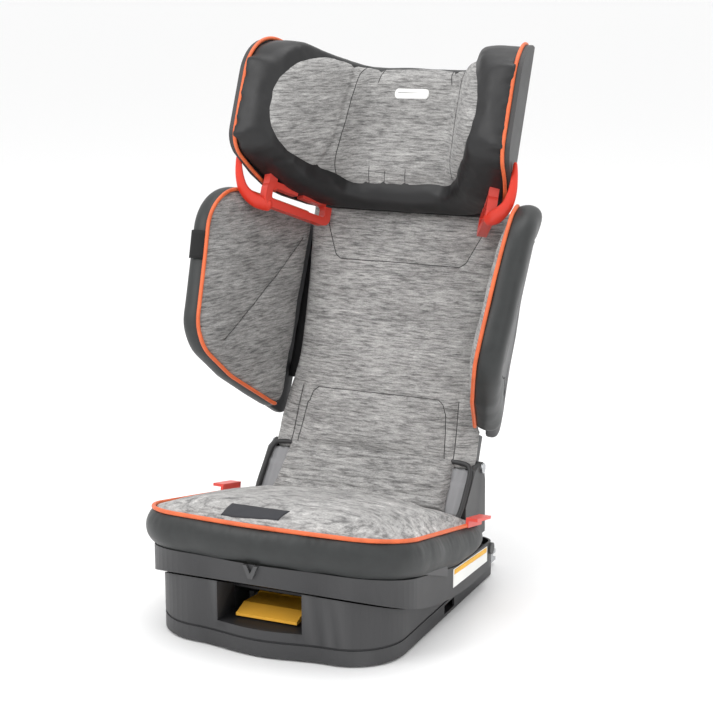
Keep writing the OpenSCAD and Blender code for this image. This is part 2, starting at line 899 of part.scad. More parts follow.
// ---- width adjuster ----

function involute(base_r, t) = [
    base_r * (cos(t) + t * PI / 180 * sin(t)),
    base_r * (sin(t) - t * PI / 180 * cos(t))
];

function turned(p, a) = [p[0] * cos(a) - p[1] * sin(a), p[0] * sin(a) + p[1] * cos(a)];

module pinion_outline() {
    base_r = pinion_r * cos(pressure);
    tip_r = pinion_r + tooth_add;
    root_r = pinion_r - tooth_ded;
    t_tip = sqrt(pow(tip_r / base_r, 2) - 1) * 180 / PI;
    t_pitch = tan(pressure) * 180 / PI;
    half = 90 / pinion_teeth - backlash / 2 / pinion_r * 180 / PI;
    lead = half + t_pitch - pressure;
    circle(root_r);
    for (i = [0 : pinion_teeth - 1]) rotate([0, 0, i * 360 / pinion_teeth + 90])
        polygon(concat(
            [turned([root_r * 0.7, 0], -lead)],
            [for (k = [0 : 4]) turned(involute(base_r, t_tip * k / 4), -lead)],
            [for (k = [4 : -1 : 0])
                let (p = turned(involute(base_r, t_tip * k / 4), -lead)) [p[0], -p[1]]],
            [turned([root_r * 0.7, 0], lead)]
        ));
}

// Pinion and its shaft, through the rear cover.
module width_knob() {
    color("#c9c9c4") on_back() {
        translate([0, bar_v[1] - 0.2, pinion_w]) rotate([90, 0, 0])
            linear_extrude(bar_v[1] - bar_v[0] - 0.4) pinion_outline();
        translate([0, bar_v[1] - 1, pinion_w]) rotate([-90, 0, 0])
            cylinder(r = shaft_r, h = cover_v + skin_t + 12 - bar_v[1]);
    }
}

module knob_grip() {
    lobes = 10;
    color("#2b2b2d") on_back() translate([0, cover_v + skin_t + 0.4, pinion_w])
        rotate([-90, 0, 0]) difference() {
            cylinder(r = knob_r, h = 15);
            translate([0, 0, -1]) cylinder(r = shaft_r, h = 11.6);
            for (i = [0 : lobes - 1]) rotate([0, 0, i * 360 / lobes])
                translate([knob_r + 2.5, 0, -1]) cylinder(r = 5, h = 20, $fn = 24);
        }
}

// ---- headrest ----

// Extra padding inside the headrest's sides: inwards and forwards, at each point of its plan.
head_ear = [[19, 0], [25, 13], [33, 20], [45, 2], [23, 0]];

// Half of the headrest's plan, from the centre line to the front of its side.
function head_half(t) =
    let (
        ear = max(0, t - head_shell_t) / (head_rim_t + head_insert_t),
        plain = [
            [head_hw - 103 - 0.6 * t, head_back - t],
            [head_hw - 62 - 0.9 * t, head_back - 22 - 0.7 * t],
            [head_hw - 36 - t, head_back - 54 - 0.5 * t],
            [head_hw - 14 - t, -head_reach + 64],
            [head_hw - 4 - t, -head_reach - 1]
        ]
    )
    [for (i = [0 : len(plain) - 1]) plain[i] - ear * head_ear[i]];

module head_plan(t) {
    half = head_half(t);
    last = len(half) - 1;
    polygon(concat(
        half,
        [for (i = [last : -1 : 0]) [-half[i][0], half[i][1]]]
    ));
}

// Side outline of the headrest, in depth and height.
module head_side(inset) {
    front = -head_reach + inset;
    hull() {
        translate([front + 66, head_w1 - 70]) circle(66 - inset, $fn = 64);
        translate([front + 34, head_w0 + 62]) circle(34 - inset, $fn = 48);
        translate([front + 96, head_w0 + 18]) circle(14, $fn = 32);
        translate([head_back - 12, head_w0 + 12 + inset]) circle(12, $fn = 24);
        translate([head_back + 1, head_w1 - 14 - inset]) circle(12, $fn = 24);
    }
}

module head_layer(t0, t1, inset) {
    on_back() intersection() {
        translate([0, 0, head_w0 - 40]) linear_extrude(head_h + 80) difference() {
            head_plan(t0);
            translate([0, -eps]) head_plan(t1);
        }
        across(-seat_w, seat_w) head_side(inset);
    }
}

module head_shell() {
    color("#2c2c2e") head_layer(0, head_shell_t, 0);
}

module head_rim() {
    color("#242425") head_layer(head_shell_t + eps, head_shell_t + head_rim_t, 0.2);
}

module head_insert() {
    t0 = head_shell_t + head_rim_t;
    color("#9c9a98") head_layer(t0 + eps, t0 + head_insert_t, 24);
}

module head_badge() {
    v = head_back - head_shell_t - head_rim_t - head_insert_t;
    color("white") on_back()
        box([-36, 36], [v - 1.2, v - 0.02], [head_w1 - 58, head_w1 - 43]);
}

module head_carrier() {
    color("#3a3a3c") on_back() difference() {
        union() {
            box([-80, 80], [head_back, head_back + 8], [carrier_w0, head_w1 - 26]);
            box([-rod_x - rod_r - 5, rod_x + rod_r + 5], [head_back, tongue_v[1]],
                [carrier_w0, carrier_w0 + 26]);
            for (s = [-1, 1])
                box([s * rod_x - rod_r - 5, s * rod_x + rod_r + 5],
                    [head_back, rod_v + rod_r + 5], [carrier_w0, carrier_w0 + 40]);
            box([-20, 20], tongue_v, [back_h - 130, carrier_w0 + 5]);
        }
        for (s = [-1, 1]) translate([s * rod_x, rod_v, carrier_w0 - 5])
            cylinder(r = rod_r, h = 60);
    }
}

module guide_rods() {
    color("silver") on_back() for (s = [-1, 1])
        translate([s * rod_x, rod_v, rod_w0]) cylinder(r = rod_r, h = rod_w1 - rod_w0);
}

// Grip behind the headrest, with its strip down to the lock.
module height_handle() {
    strip_v = [tongue_v[1] + 0.5, tongue_v[1] + 3.5];
    color("#55565a") on_back() {
        box([-8, 8], strip_v, [back_h - 126, head_w1 - 2]);
        box([-9, 9], [strip_v[0], rack_v - 0.5], [back_h - 126, back_h - 116]);
        box([-36, 36], [head_back + 12, strip_v[1]], [head_w1 - 16, head_w1 - 2]);
    }
}

// Red shoulder-belt guide: a loop under the headrest's side, open between two prongs.
module belt_guide() {
    len = 122;
    tall = 36;
    thick = 9;
    bar = 11;
    corner = 12;
    front = [head_hw - 35, -148];
    on_back() translate([front[0], front[1], head_w0 - tall]) rotate([0, 0, 114]) {
        difference() {
            translate([0, thick, 0]) rotate([90, 0, 0]) linear_extrude(thick) difference() {
                rounded_box(len, tall, corner);
                translate([bar, bar]) rounded_box(len - 2 * bar, tall - 2 * bar + 2, 5);
            }
            box([len / 2 - 5, len / 2 + 5], [-1, thick + 1], [tall - bar - 2, tall + 1]);
        }
        box([2, 16], [0, thick], [tall - corner, tall + 9]);
    }
}

module rounded_box(w, h, r) {
    translate([r, 0]) square([w - 2 * r, h]);
    translate([0, r]) square([w, h - 2 * r]);
    for (x = [r, w - r], y = [r, h - r]) translate([x, y]) circle(r);
}

module belt_guide_right() { color("#d9371a") belt_guide(); }
module belt_guide_left() { color("#d9371a") mirror([1, 0, 0]) belt_guide(); }

base_tray();
base_cover();
base_feet();
base_screws();
handle_pin();
handle_spring();
recline_handle();
recline_pawl();
latch_arms();
latch_crossbar();
latch_button_left();
latch_button_right();
seat_shell();
slide_blocks();
recline_rack();
seat_foam();
cushion_band();
cushion_top();
cushion_patch();
cover_hook();
side_tabs();
side_label();
lap_guides();
lower_frame();
lower_panel();
lower_back_pad();
fold_pins();
pivot_caps();
back_panel();
back_cover();
back_screws();
back_pad();
rod_sleeves();
height_rack();
wing_shell_left();
wing_pad_left();
wing_bar_left();
wing_tag();
wing_shell_right();
wing_pad_right();
wing_bar_right();
width_knob();
knob_grip();
head_shell();
head_rim();
head_insert();
head_badge();
head_carrier();
guide_rods();
belt_guide_left();
belt_guide_right();
height_handle();
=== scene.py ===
import math

import bmesh
import bpy
import numpy as np
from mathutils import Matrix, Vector, noise
from mathutils.bvhtree import BVHTree


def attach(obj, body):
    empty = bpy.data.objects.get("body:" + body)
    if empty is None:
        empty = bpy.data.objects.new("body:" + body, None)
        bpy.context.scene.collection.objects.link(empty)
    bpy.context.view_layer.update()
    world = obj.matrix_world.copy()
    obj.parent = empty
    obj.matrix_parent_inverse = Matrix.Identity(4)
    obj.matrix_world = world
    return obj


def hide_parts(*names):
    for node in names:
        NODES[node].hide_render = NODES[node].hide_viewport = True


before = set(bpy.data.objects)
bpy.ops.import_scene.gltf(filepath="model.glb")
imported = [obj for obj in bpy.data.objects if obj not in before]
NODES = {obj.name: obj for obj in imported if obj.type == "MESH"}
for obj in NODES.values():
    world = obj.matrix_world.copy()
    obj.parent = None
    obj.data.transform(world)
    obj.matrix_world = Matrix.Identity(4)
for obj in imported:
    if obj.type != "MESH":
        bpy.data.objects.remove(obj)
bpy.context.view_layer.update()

# ---------------------------------------------------------------- frames, mm to metres
LEAN = math.radians(23.3)
SPLAY = math.radians(17.3)
HINGE = (0.0, 168.0, 160.0)
WING_ROOT = (145.0, -20.0)
SIDES = (("left", -1.0), ("right", 1.0))


def arr(points):
    return np.array(points, float).reshape(-1, 3)


def from_back(points):
    """(x, v, w) of the back's frame, in mm, to the part's frame, in metres."""
    p = arr(points)
    c, s = math.cos(LEAN), math.sin(LEAN)
    return np.stack([p[:, 0], HINGE[1] + p[:, 1] * c + p[:, 2] * s,
                     HINGE[2] - p[:, 1] * s + p[:, 2] * c], 1) / 1000


def to_back(points):
    p = arr(points) * 1000
    c, s = math.cos(LEAN), math.sin(LEAN)
    y, z = p[:, 1] - HINGE[1], p[:, 2] - HINGE[2]
    return np.stack([p[:, 0], y * c - z * s, y * s + z * c], 1)


def wing_warp(s, w):
    """How far the wing's face stands out from its plane."""
    rise = np.interp(w, [50, 108, 150, 218, 260, 308, 326], [-5, -6, -3, 2, 6, 11, 15])
    return rise * np.clip(s / 120, 0, 1)


def from_wing(points, side):
    """(s, n, w) of a wing's frame, in mm, to the part's frame."""
    p = arr(points)
    s, w = p[:, 0], p[:, 2]
    n = p[:, 1] + wing_warp(s, w)
    c, k = math.cos(SPLAY), math.sin(SPLAY)
    x = WING_ROOT[0] + s * k + n * c
    v = WING_ROOT[1] - s * c + n * k
    return from_back(np.stack([side * x, v, w], 1))


def to_wing(points, side):
    p = to_back(points)
    dx, dv = p[:, 0] * side - WING_ROOT[0], WING_ROOT[1] - p[:, 1]
    c, k = math.cos(SPLAY), math.sin(SPLAY)
    s, n = dx * k + dv * c, dx * c - dv * k
    return np.stack([s, n - wing_warp(s, p[:, 2]), p[:, 2]], 1)


# ---------------------------------------------------------------- mesh tools
def add_mesh(name, verts, faces, material=None):
    me = bpy.data.meshes.new(name)
    me.from_pydata([tuple(v) for v in verts], [], [tuple(f) for f in faces])
    me.validate()
    me.polygons.foreach_set("use_smooth", [True] * len(me.polygons))
    ob = bpy.data.objects.new(name, me)
    bpy.context.scene.collection.objects.link(ob)
    if material:
        me.materials.append(material)
    outward(ob)
    return ob


def outward(ob):
    """Makes the faces of a closed mesh point outwards."""
    bm = bmesh.new()
    bm.from_mesh(ob.data)
    bmesh.ops.remove_doubles(bm, verts=bm.verts, dist=1e-6)
    bmesh.ops.recalc_face_normals(bm, faces=bm.faces)
    bm.to_mesh(ob.data)
    bm.free()


def loft_mesh(rings, torus=False):
    """Points and faces of a closed form through rings. Without torus its two ends are capped."""
    n, k = len(rings[0]), len(rings)
    verts = np.concatenate(rings)
    faces = []
    for r in range(k if torus else k - 1):
        a, b = r * n, ((r + 1) % k) * n
        faces += [(a + i, a + (i + 1) % n, b + (i + 1) % n, b + i) for i in range(n)]
    if not torus:
        verts = np.concatenate([verts, [rings[0].mean(0), rings[-1].mean(0)]])
        last = (k - 1) * n
        faces += [((i + 1) % n, i, k * n) for i in range(n)]
        faces += [(last + i, last + (i + 1) % n, k * n + 1) for i in range(n)]
    return verts, faces


def loft(name, rings, material=None, torus=False):
    return add_mesh(name, *loft_mesh(rings, torus), material)


def grid(name, front, back, material=None):
    """A closed pad between two sheets of points, each rows by columns by 3."""
    rows, cols = front.shape[:2]
    verts = np.concatenate([front.reshape(-1, 3), back.reshape(-1, 3)])
    off = rows * cols
    faces = []
    for r in range(rows - 1):
        for c in range(cols - 1):
            a = r * cols + c
            faces.append((a, a + 1, a + cols + 1, a + cols))
            faces.append((off + a, off + a + cols, off + a + cols + 1, off + a + 1))
    edge = [r * cols for r in range(rows)] + [(rows - 1) * cols + c for c in range(1, cols)]
    edge += [r * cols + cols - 1 for r in range(rows - 2, -1, -1)]
    edge += [c for c in range(cols - 2, 0, -1)]
    for i, a in enumerate(edge):
        b = edge[(i + 1) % len(edge)]
        faces.append((a, b, off + b, off + a))
    return add_mesh(name, verts, faces, material)


def resample(points, count, closed=False):
    p = arr(points)
    if closed:
        p = np.concatenate([p, p[:1]])
    d = np.r_[0, np.cumsum(np.linalg.norm(np.diff(p, axis=0), axis=1))]
    at = np.linspace(0, d[-1], count, endpoint=not closed)
    return np.stack([np.interp(at, d, p[:, i]) for i in range(3)], 1)


def length_mm(p):
    return np.linalg.norm(np.diff(p, axis=0), axis=1).sum() * 1000


def smooth_line(points, count, closed=False):
    """A Catmull-Rom curve through points, evenly spaced."""
    p = arr(points)
    m = len(p)
    out = []
    for i in range(m if closed else m - 1):
        if closed:
            a, b, c, d = p[i - 1], p[i], p[(i + 1) % m], p[(i + 2) % m]
        else:
            a, b, c, d = p[max(i - 1, 0)], p[i], p[i + 1], p[min(i + 2, m - 1)]
        for t in np.linspace(0, 1, 12, endpoint=False):
            out.append(0.5 * (2 * b + (c - a) * t + (2 * a - 5 * b + 4 * c - d) * t * t
                              + (3 * b - a - 3 * c + d) * t ** 3))
    if not closed:
        out.append(p[-1])
    return resample(out, count, closed)


def tube(name, path, radius, material=None, closed=False, sides=10, flat=1.0, join=None):
    """A round cord along path, in metres. join collects the mesh instead of making an object."""
    p = arr(path)
    n = len(p)
    if closed:
        tangent = np.roll(p, -1, 0) - np.roll(p, 1, 0)
    else:
        tangent = np.gradient(p, axis=0)
    tangent /= np.linalg.norm(tangent, axis=1)[:, None] + 1e-12
    up = np.array([0.0, 0.0, 1.0]) if abs(tangent[0][2]) < 0.9 else np.array([1.0, 0, 0])
    rings = []
    for i in range(n):
        up = up - tangent[i] * (up @ tangent[i])
        up /= np.linalg.norm(up)
        side = np.cross(tangent[i], up)
        a = np.linspace(0, 2 * math.pi, sides, endpoint=False)
        r = radius[i] if hasattr(radius, "__len__") else radius
        if not closed and i in (0, n - 1):
            r = r * 0.55
        rings.append(p[i] + r * (np.cos(a)[:, None] * up + flat * np.sin(a)[:, None] * side))
    if join is None:
        return loft(name, rings, material, torus=closed)
    join.append(loft_mesh(rings))
    return None


def joined(name, parts, material=None):
    """One piece from several meshes of points and faces."""
    faces, base = [], 0
    for verts, part in parts:
        faces += [tuple(base + i for i in f) for f in part]
        base += len(verts)
    return add_mesh(name, np.concatenate([v for v, _ in parts]), faces, material)


def get_co(ob):
    co = np.zeros(len(ob.data.vertices) * 3)
    ob.data.vertices.foreach_get("co", co)
    return co.reshape(-1, 3)


def set_co(ob, co):
    ob.data.vertices.foreach_set("co", co.ravel())
    ob.data.update()


def get_normals(ob):
    no = np.zeros(len(ob.data.vertices) * 3)
    ob.data.vertices.foreach_get("normal", no)
    return no.reshape(-1, 3)


def baked(ob):
    """Replaces the mesh with what its modifiers make of it."""
    bpy.context.view_layer.update()
    made = bpy.data.meshes.new_from_object(
        ob.evaluated_get(bpy.context.evaluated_depsgraph_get()))
    old = ob.data
    name = old.name
    ob.modifiers.clear()
    ob.data = made
    bpy.data.meshes.remove(old)
    made.name = name
    made.polygons.foreach_set("use_smooth", [True] * len(made.polygons))
    return ob


def refined(ob, levels=1):
    """Applies a subdivision surface."""
    mod = ob.modifiers.new("fine", "SUBSURF")
    mod.levels = mod.render_levels = levels
    return baked(ob)


def painted(ob, material):
    ob.data.materials.clear()
    ob.data.materials.append(material)


def eased(ob, width):
    """Merges the flats of a hard piece and rounds its sharp edges by width, in mm."""
    flatten = ob.modifiers.new("flats", "DECIMATE")
    flatten.decimate_type = "DISSOLVE"
    flatten.angle_limit = math.radians(0.6)
    edge = ob.modifiers.new("edges", "BEVEL")
    edge.width = width / 1000
    edge.segments = 3
    edge.limit_method = "ANGLE"
    edge.angle_limit = math.radians(32)
    edge.use_clamp_overlap = True
    edge.harden_normals = True


def surface(ob):
    """A tree to cast rays at, of ob as it is drawn."""
    bpy.context.view_layer.update()
    return BVHTree.FromObject(ob, bpy.context.evaluated_depsgraph_get())


def sheets(rows, cols):
    return np.zeros((rows, cols, 3)), np.zeros((rows, cols, 3))


def quarter(x):
    """Height of a quarter circle at x, from 0 to 1."""
    return math.sqrt(max(0.0, 1 - (1 - x) ** 2))


def soften(ob, voxel=4.5, cap=5.0, pressure=4.0, hold=None, rounds=2):
    """Remeshes a pad, puffs it up as cloth under pressure, and smooths it."""
    mod = ob.modifiers.new("remesh", "REMESH")
    mod.mode = "VOXEL"
    mod.voxel_size = voxel / 1000
    baked(ob)
    mod = ob.modifiers.new("relax", "SMOOTH")
    mod.factor, mod.iterations = 0.5, rounds
    baked(ob)
    start = get_co(ob)
    pins = ob.vertex_groups.new(name="pins")
    if hold is not None:
        pins.add([int(i) for i in np.nonzero(hold(start, get_normals(ob)))[0]], 1.0, "REPLACE")
    cloth = ob.modifiers.new("cloth", "CLOTH")
    s = cloth.settings
    s.quality = 4
    s.mass = 0.3
    s.tension_stiffness = s.compression_stiffness = 18
    s.bending_stiffness = 0.6
    s.use_pressure = True
    s.uniform_pressure_force = pressure
    s.effector_weights.gravity = 0
    s.vertex_group_mass = "pins"
    cloth.collision_settings.use_collision = False
    cloth.point_cache.frame_start = 1
    cloth.point_cache.frame_end = 20
    scene = bpy.context.scene
    for f in range(1, 17):
        scene.frame_set(f)
    moved = np.zeros(len(start) * 3)
    done = ob.evaluated_get(bpy.context.evaluated_depsgraph_get())
    done.data.vertices.foreach_get("co", moved)
    step = moved.reshape(-1, 3) - start
    size = np.linalg.norm(step, axis=1)
    limit = cap / 1000
    scale = np.where(size > 1e-9, limit * np.tanh(size / limit) / np.maximum(size, 1e-9), 0)
    ob.modifiers.clear()
    ob.vertex_groups.clear()
    scene.frame_set(1)
    set_co(ob, start + step * scale[:, None])
    mod = ob.modifiers.new("relax", "SMOOTH")
    mod.factor, mod.iterations = 0.5, 2
    baked(ob)
    return refined(ob)


def line_distance(p, lines):
    """Distance of each 2-D point to the nearest of the lines."""
    best = np.full(len(p), 1e9)
    for line in lines:
        q = np.array(line, float)
        for a, b in zip(q[:-1], q[1:]):
            d = b - a
            t = np.clip(((p - a) @ d) / max(d @ d, 1e-9), 0, 1)
            best = np.minimum(best, np.linalg.norm(p - a - t[:, None] * d, axis=1))
    return best


def groove(ob, flat, facing, lines, depth=2.2, width=3.5):
    """Sinks sewn seams into the side of a pad that faces along facing."""
    co, no = get_co(ob), get_normals(ob)
    toward = np.clip((no @ np.array(facing)) * 2 - 0.3, 0, 1)
    d = line_distance(flat(co), lines)
    sink = depth * (np.exp(-(d / width) ** 2) * 0.65 + np.exp(-(d / (width * 0.35)) ** 2) * 0.35)
    set_co(ob, co - no * (sink * toward / 1000)[:, None])


def wrinkle(ob, size, amount, stretch=(1, 1, 1), seed=0.0, limit=None):
    """Soft unevenness of a sewn cover."""
    co, no = get_co(ob), get_normals(ob)
    k = np.array(stretch) / size
    h = np.array([noise.noise(Vector((q[0] * k[0] + seed, q[1] * k[1], q[2] * k[2])))
                  for q in co * 1000])
    if limit is not None:
        h *= limit(co)
    set_co(ob, co + no * (h * amount / 1000)[:, None])


def stitches(name, ob, lines3, inward, material, step=4.4, length=3.0, radius=0.32):
    """Thread on the surface of ob along lines given in front of it, in metres."""
    tree = surface(ob)
    parts = []
    way = Vector(inward).normalized()
    for line in lines3:
        p = arr(line)
        total = length_mm(p)
        p = resample(p, max(3, int(total / step)))
        for a, b in zip(p[:-1], p[1:]):
            mid, half = (a + b) / 2, (b - a) / np.linalg.norm(b - a) * length / 2000
            hits = []
            for q in (mid - half, mid, mid + half):
                hit = tree.ray_cast(Vector(q) - way * 0.12, way)
                if hit[0] is None:
                    break
                hits.append(np.array(hit[0] - way * radius * 0.6 / 1000))
            if len(hits) == 3:
                tube("", hits, radius / 1000, sides=5, join=parts)
    return joined(name, parts, material) if parts else None


def seam_shadow_cord(name, ob, lines3, inward, material, radius=0.75, sink=0.25):
    """A dark cord of painted shadow along a sewn seam, lying on the surface of ob under the given lines.
    """
    tree = surface(ob)
    way = Vector(inward).normalized()
    parts = []
    for line in lines3:
        p = arr(line)
        total = length_mm(p)
        hits = []
        for q in resample(p, max(4, int(total / 3))):
            hit = tree.ray_cast(Vector(q) - way * 0.06, way)[0]
            if hit is not None:
                hits.append(np.array(hit) + np.array(way) * sink / 1000)
        if len(hits) > 3:
            tube("", hits, radius / 1000, sides=6, join=parts)
    return joined(name, parts, material)


# ---------------------------------------------------------------- materials
def nodes_of(name):
    m = bpy.data.materials.new(name)
    m.use_nodes = True
    t = m.node_tree
    return m, t, t.nodes["Principled BSDF"]


def node(t, kind, **values):
    n = t.nodes.new(kind)
    for k, v in values.items():
        if k in n.inputs:
            n.inputs[k].default_value = v
        else:
            setattr(n, k, v)
    return n


def placed(t, rotation, scale):
    """Object coordinates, turned and scaled."""
    at = node(t, "ShaderNodeTexCoord")
    m = node(t, "ShaderNodeMapping", Rotation=rotation, Scale=scale)
    t.links.new(at.outputs["Object"], m.inputs["Vector"])
    return m.outputs["Vector"]


def ramp(t, source, stops):
    r = node(t, "ShaderNodeValToRGB")
    e = r.color_ramp.elements
    while len(e) < len(stops):
        e.new(0.5)
    for i, (at, c) in enumerate(stops):
        e[i].position = at
        e[i].color = (*c, 1) if len(c) == 3 else (c[0], c[0], c[0], 1)
    t.links.new(source, r.inputs["Fac"])
    return r.outputs["Color"]


def linear(hexa):
    c = [int(hexa[i:i + 2], 16) / 255 for i in (1, 3, 5)]
    return tuple(x / 12.92 if x <= 0.04045 else ((x + 0.055) / 1.055) ** 2.4 for x in c)


def bump(t, p, source, strength, distance, under=None):
    b = node(t, "ShaderNodeBump", Strength=strength, Distance=distance)
    t.links.new(source, b.inputs["Height"])
    if under is not None:
        t.links.new(under, b.inputs["Normal"])
    t.links.new(b.outputs["Normal"], p.inputs["Normal"])
    return b.outputs["Normal"]


def mixed(t, kind, factor, a, b):
    m = node(t, "ShaderNodeMix", data_type="RGBA", blend_type=kind)
    m.inputs[0].default_value = factor
    t.links.new(a, m.inputs[6])
    t.links.new(b, m.inputs[7])
    return m.outputs[2]


def heather(name, rotation, light_level=1.0):
    """Melange cloth: dark and light slubs run across, over a fine weave."""
    m, t, p = nodes_of(name)
    slub = node(t, "ShaderNodeTexNoise", Scale=1.0, Detail=5.0, Roughness=0.68, Distortion=0.25)
    t.links.new(placed(t, rotation, (52, 52, 430)), slub.inputs["Vector"])
    patch = node(t, "ShaderNodeTexNoise", Scale=1.0, Detail=2.0, Roughness=0.5)
    t.links.new(placed(t, rotation, (11, 11, 46)), patch.inputs["Vector"])
    speck = node(t, "ShaderNodeTexNoise", Scale=1.0, Detail=1.0, Roughness=0.5)
    t.links.new(placed(t, rotation, (420, 420, 1300)), speck.inputs["Vector"])
    # light_level makes lighter or darker copies of the same cloth; some parts below use it for painted
    # light and shade
    g = [light_level * x for x in (0.14, 0.27, 0.42, 0.53, 0.72)]
    base = ramp(t, slub.outputs["Fac"],
                [(0.30, (g[0], g[0] * .99, g[0] * .98)), (0.41, (g[1], g[1] * .985, g[1] * .97)),
                 (0.50, (g[2], g[2] * .985, g[2] * .965)), (0.60, (g[3], g[3] * .985, g[3] * .965)),
                 (0.72, (g[4], g[4] * .985, g[4] * .96))])
    tone = ramp(t, patch.outputs["Fac"], [(0.3, (0.74,)), (0.7, (1.0,))])
    fine = ramp(t, speck.outputs["Fac"], [(0.32, (0.62,)), (0.66, (1.0,))])
    colour = mixed(t, "MULTIPLY", 1.0, mixed(t, "MULTIPLY", 0.75, base, fine), tone)
    t.links.new(colour, p.inputs["Base Color"])
    wave = node(t, "ShaderNodeTexWave", wave_type="BANDS", bands_direction="Z", Scale=1.0,
                Distortion=1.6, Detail=2.0)
    wave.inputs["Detail Scale"].default_value = 2.0
    t.links.new(placed(t, rotation, (60, 60, 190)), wave.inputs["Vector"])
    under = bump(t, p, wave.outputs["Fac"], 0.30, 0.0006)
    under = bump(t, p, speck.outputs["Fac"], 0.55, 0.0006, under)
    bump(t, p, slub.outputs["Fac"], 0.45, 0.0009, under)
    p.inputs["Roughness"].default_value = 0.92
    p.inputs["Specular IOR Level"].default_value = 0.25
    p.inputs["Sheen Weight"].default_value = 0.12
    p.inputs["Sheen Roughness"].default_value = 0.5
    return m


def leatherette(name, hexa, rough=0.45, grain=1.0):
    """Coated fabric: fine pebble grain, slightly uneven gloss."""
    m, t, p = nodes_of(name)
    c = linear(hexa)
    at = placed(t, (0, 0, 0), (1, 1, 1))
    pebble = node(t, "ShaderNodeTexVoronoi", feature="SMOOTH_F1", Scale=780.0)
    t.links.new(at, pebble.inputs["Vector"])
    crease = node(t, "ShaderNodeTexNoise", Scale=46.0, Detail=4.0, Roughness=0.6)
    t.links.new(at, crease.inputs["Vector"])
    colour = ramp(t, crease.outputs["Fac"],
                  [(0.3, tuple(x * 0.82 for x in c)), (0.7, tuple(x * 1.16 for x in c))])
    t.links.new(colour, p.inputs["Base Color"])
    gloss = ramp(t, crease.outputs["Fac"], [(0.3, (rough - 0.05,)), (0.7, (rough + 0.07,))])
    t.links.new(gloss, p.inputs["Roughness"])
    under = bump(t, p, crease.outputs["Fac"], 0.10, 0.002)
    bump(t, p, pebble.outputs["Distance"], 0.22 * grain, 0.0004, under)
    p.inputs["Specular IOR Level"].default_value = 0.42
    return m


def plastic(name, hexa, rough=0.5, grain=1.0, edge_highlight=True, specular=0.45):
    """Moulded plastic: spark-eroded texture, and edges a little paler as a painted highlight."""
    m, t, p = nodes_of(name)
    c = linear(hexa)
    at = placed(t, (0, 0, 0), (1, 1, 1))
    grit = node(t, "ShaderNodeTexNoise", Scale=1500.0, Detail=2.0, Roughness=0.6)
    t.links.new(at, grit.inputs["Vector"])
    cloud = node(t, "ShaderNodeTexNoise", Scale=14.0, Detail=3.0, Roughness=0.55)
    t.links.new(at, cloud.inputs["Vector"])
    colour = ramp(t, cloud.outputs["Fac"],
                  [(0.3, tuple(x * 0.93 for x in c)), (0.7, tuple(min(1, x * 1.07) for x in c))])
    # Painted highlight: convex edges are made a little paler, for light catching them
    if edge_highlight:
        edge = node(t, "ShaderNodeNewGeometry")
        pale = ramp(t, edge.outputs["Pointiness"], [(0.50, (0.0,)), (0.60, (0.05,))])
        colour = mixed(t, "ADD", 1.0, colour, pale)
    t.links.new(colour, p.inputs["Base Color"])
    gloss = ramp(t, cloud.outputs["Fac"], [(0.3, (rough - 0.04,)), (0.7, (rough + 0.05,))])
    t.links.new(gloss, p.inputs["Roughness"])
    bump(t, p, grit.outputs["Fac"], 0.16 * grain, 0.0003)
    p.inputs["Specular IOR Level"].default_value = specular
    return m


def metal(name, hexa, rough=0.35):
    m, t, p = nodes_of(name)
    c = linear(hexa)
    brushed = node(t, "ShaderNodeTexNoise", Scale=1.0, Detail=3.0, Roughness=0.6)
    t.links.new(placed(t, (0, 0, 0), (60, 60, 900)), brushed.inputs["Vector"])
    colour = ramp(t, brushed.outputs["Fac"],
                  [(0.3, tuple(x * 0.85 for x in c)), (0.7, c)])
    t.links.new(colour, p.inputs["Base Color"])
    gloss = ramp(t, brushed.outputs["Fac"], [(0.3, (rough - 0.08,)), (0.7, (rough + 0.08,))])
    t.links.new(gloss, p.inputs["Roughness"])
    p.inputs["Metallic"].default_value = 1.0
    bump(t, p, brushed.outputs["Fac"], 0.08, 0.0003)
    return m


def woven(name, hexa, rough=0.85):
    """Flat woven tape, thread or film with a fine rib."""
    m, t, p = nodes_of(name)
    c = linear(hexa)
    rib = node(t, "ShaderNodeTexNoise", Scale=1.0, Detail=2.0)
    t.links.new(placed(t, (0, 0, 0), (900, 900, 900)), rib.inputs["Vector"])
    colour = ramp(t, rib.outputs["Fac"],
                  [(0.3, tuple(x * 0.85 for x in c)), (0.7, tuple(min(1, x * 1.1) for x in c))])
    t.links.new(colour, p.inputs["Base Color"])
    bump(t, p, rib.outputs["Fac"], 0.3, 0.0003)
    p.inputs["Roughness"].default_value = rough
    return m


TILT = math.radians(11.5)
# Painted light: the seat's cloth is a lighter copy of the same heather, for the light falling on its top
heather_seat = heather("heather_seat", (math.radians(90) + TILT, 0, 0), 1.1)
heather_lower = heather("heather_lower", (math.radians(44), 0, 0))
# Painted light: the back pad's cloth is a slightly lighter copy of the same heather, for how brightly it
# is lit
heather_back = heather("heather_back", (LEAN, 0, 0), 1.05)
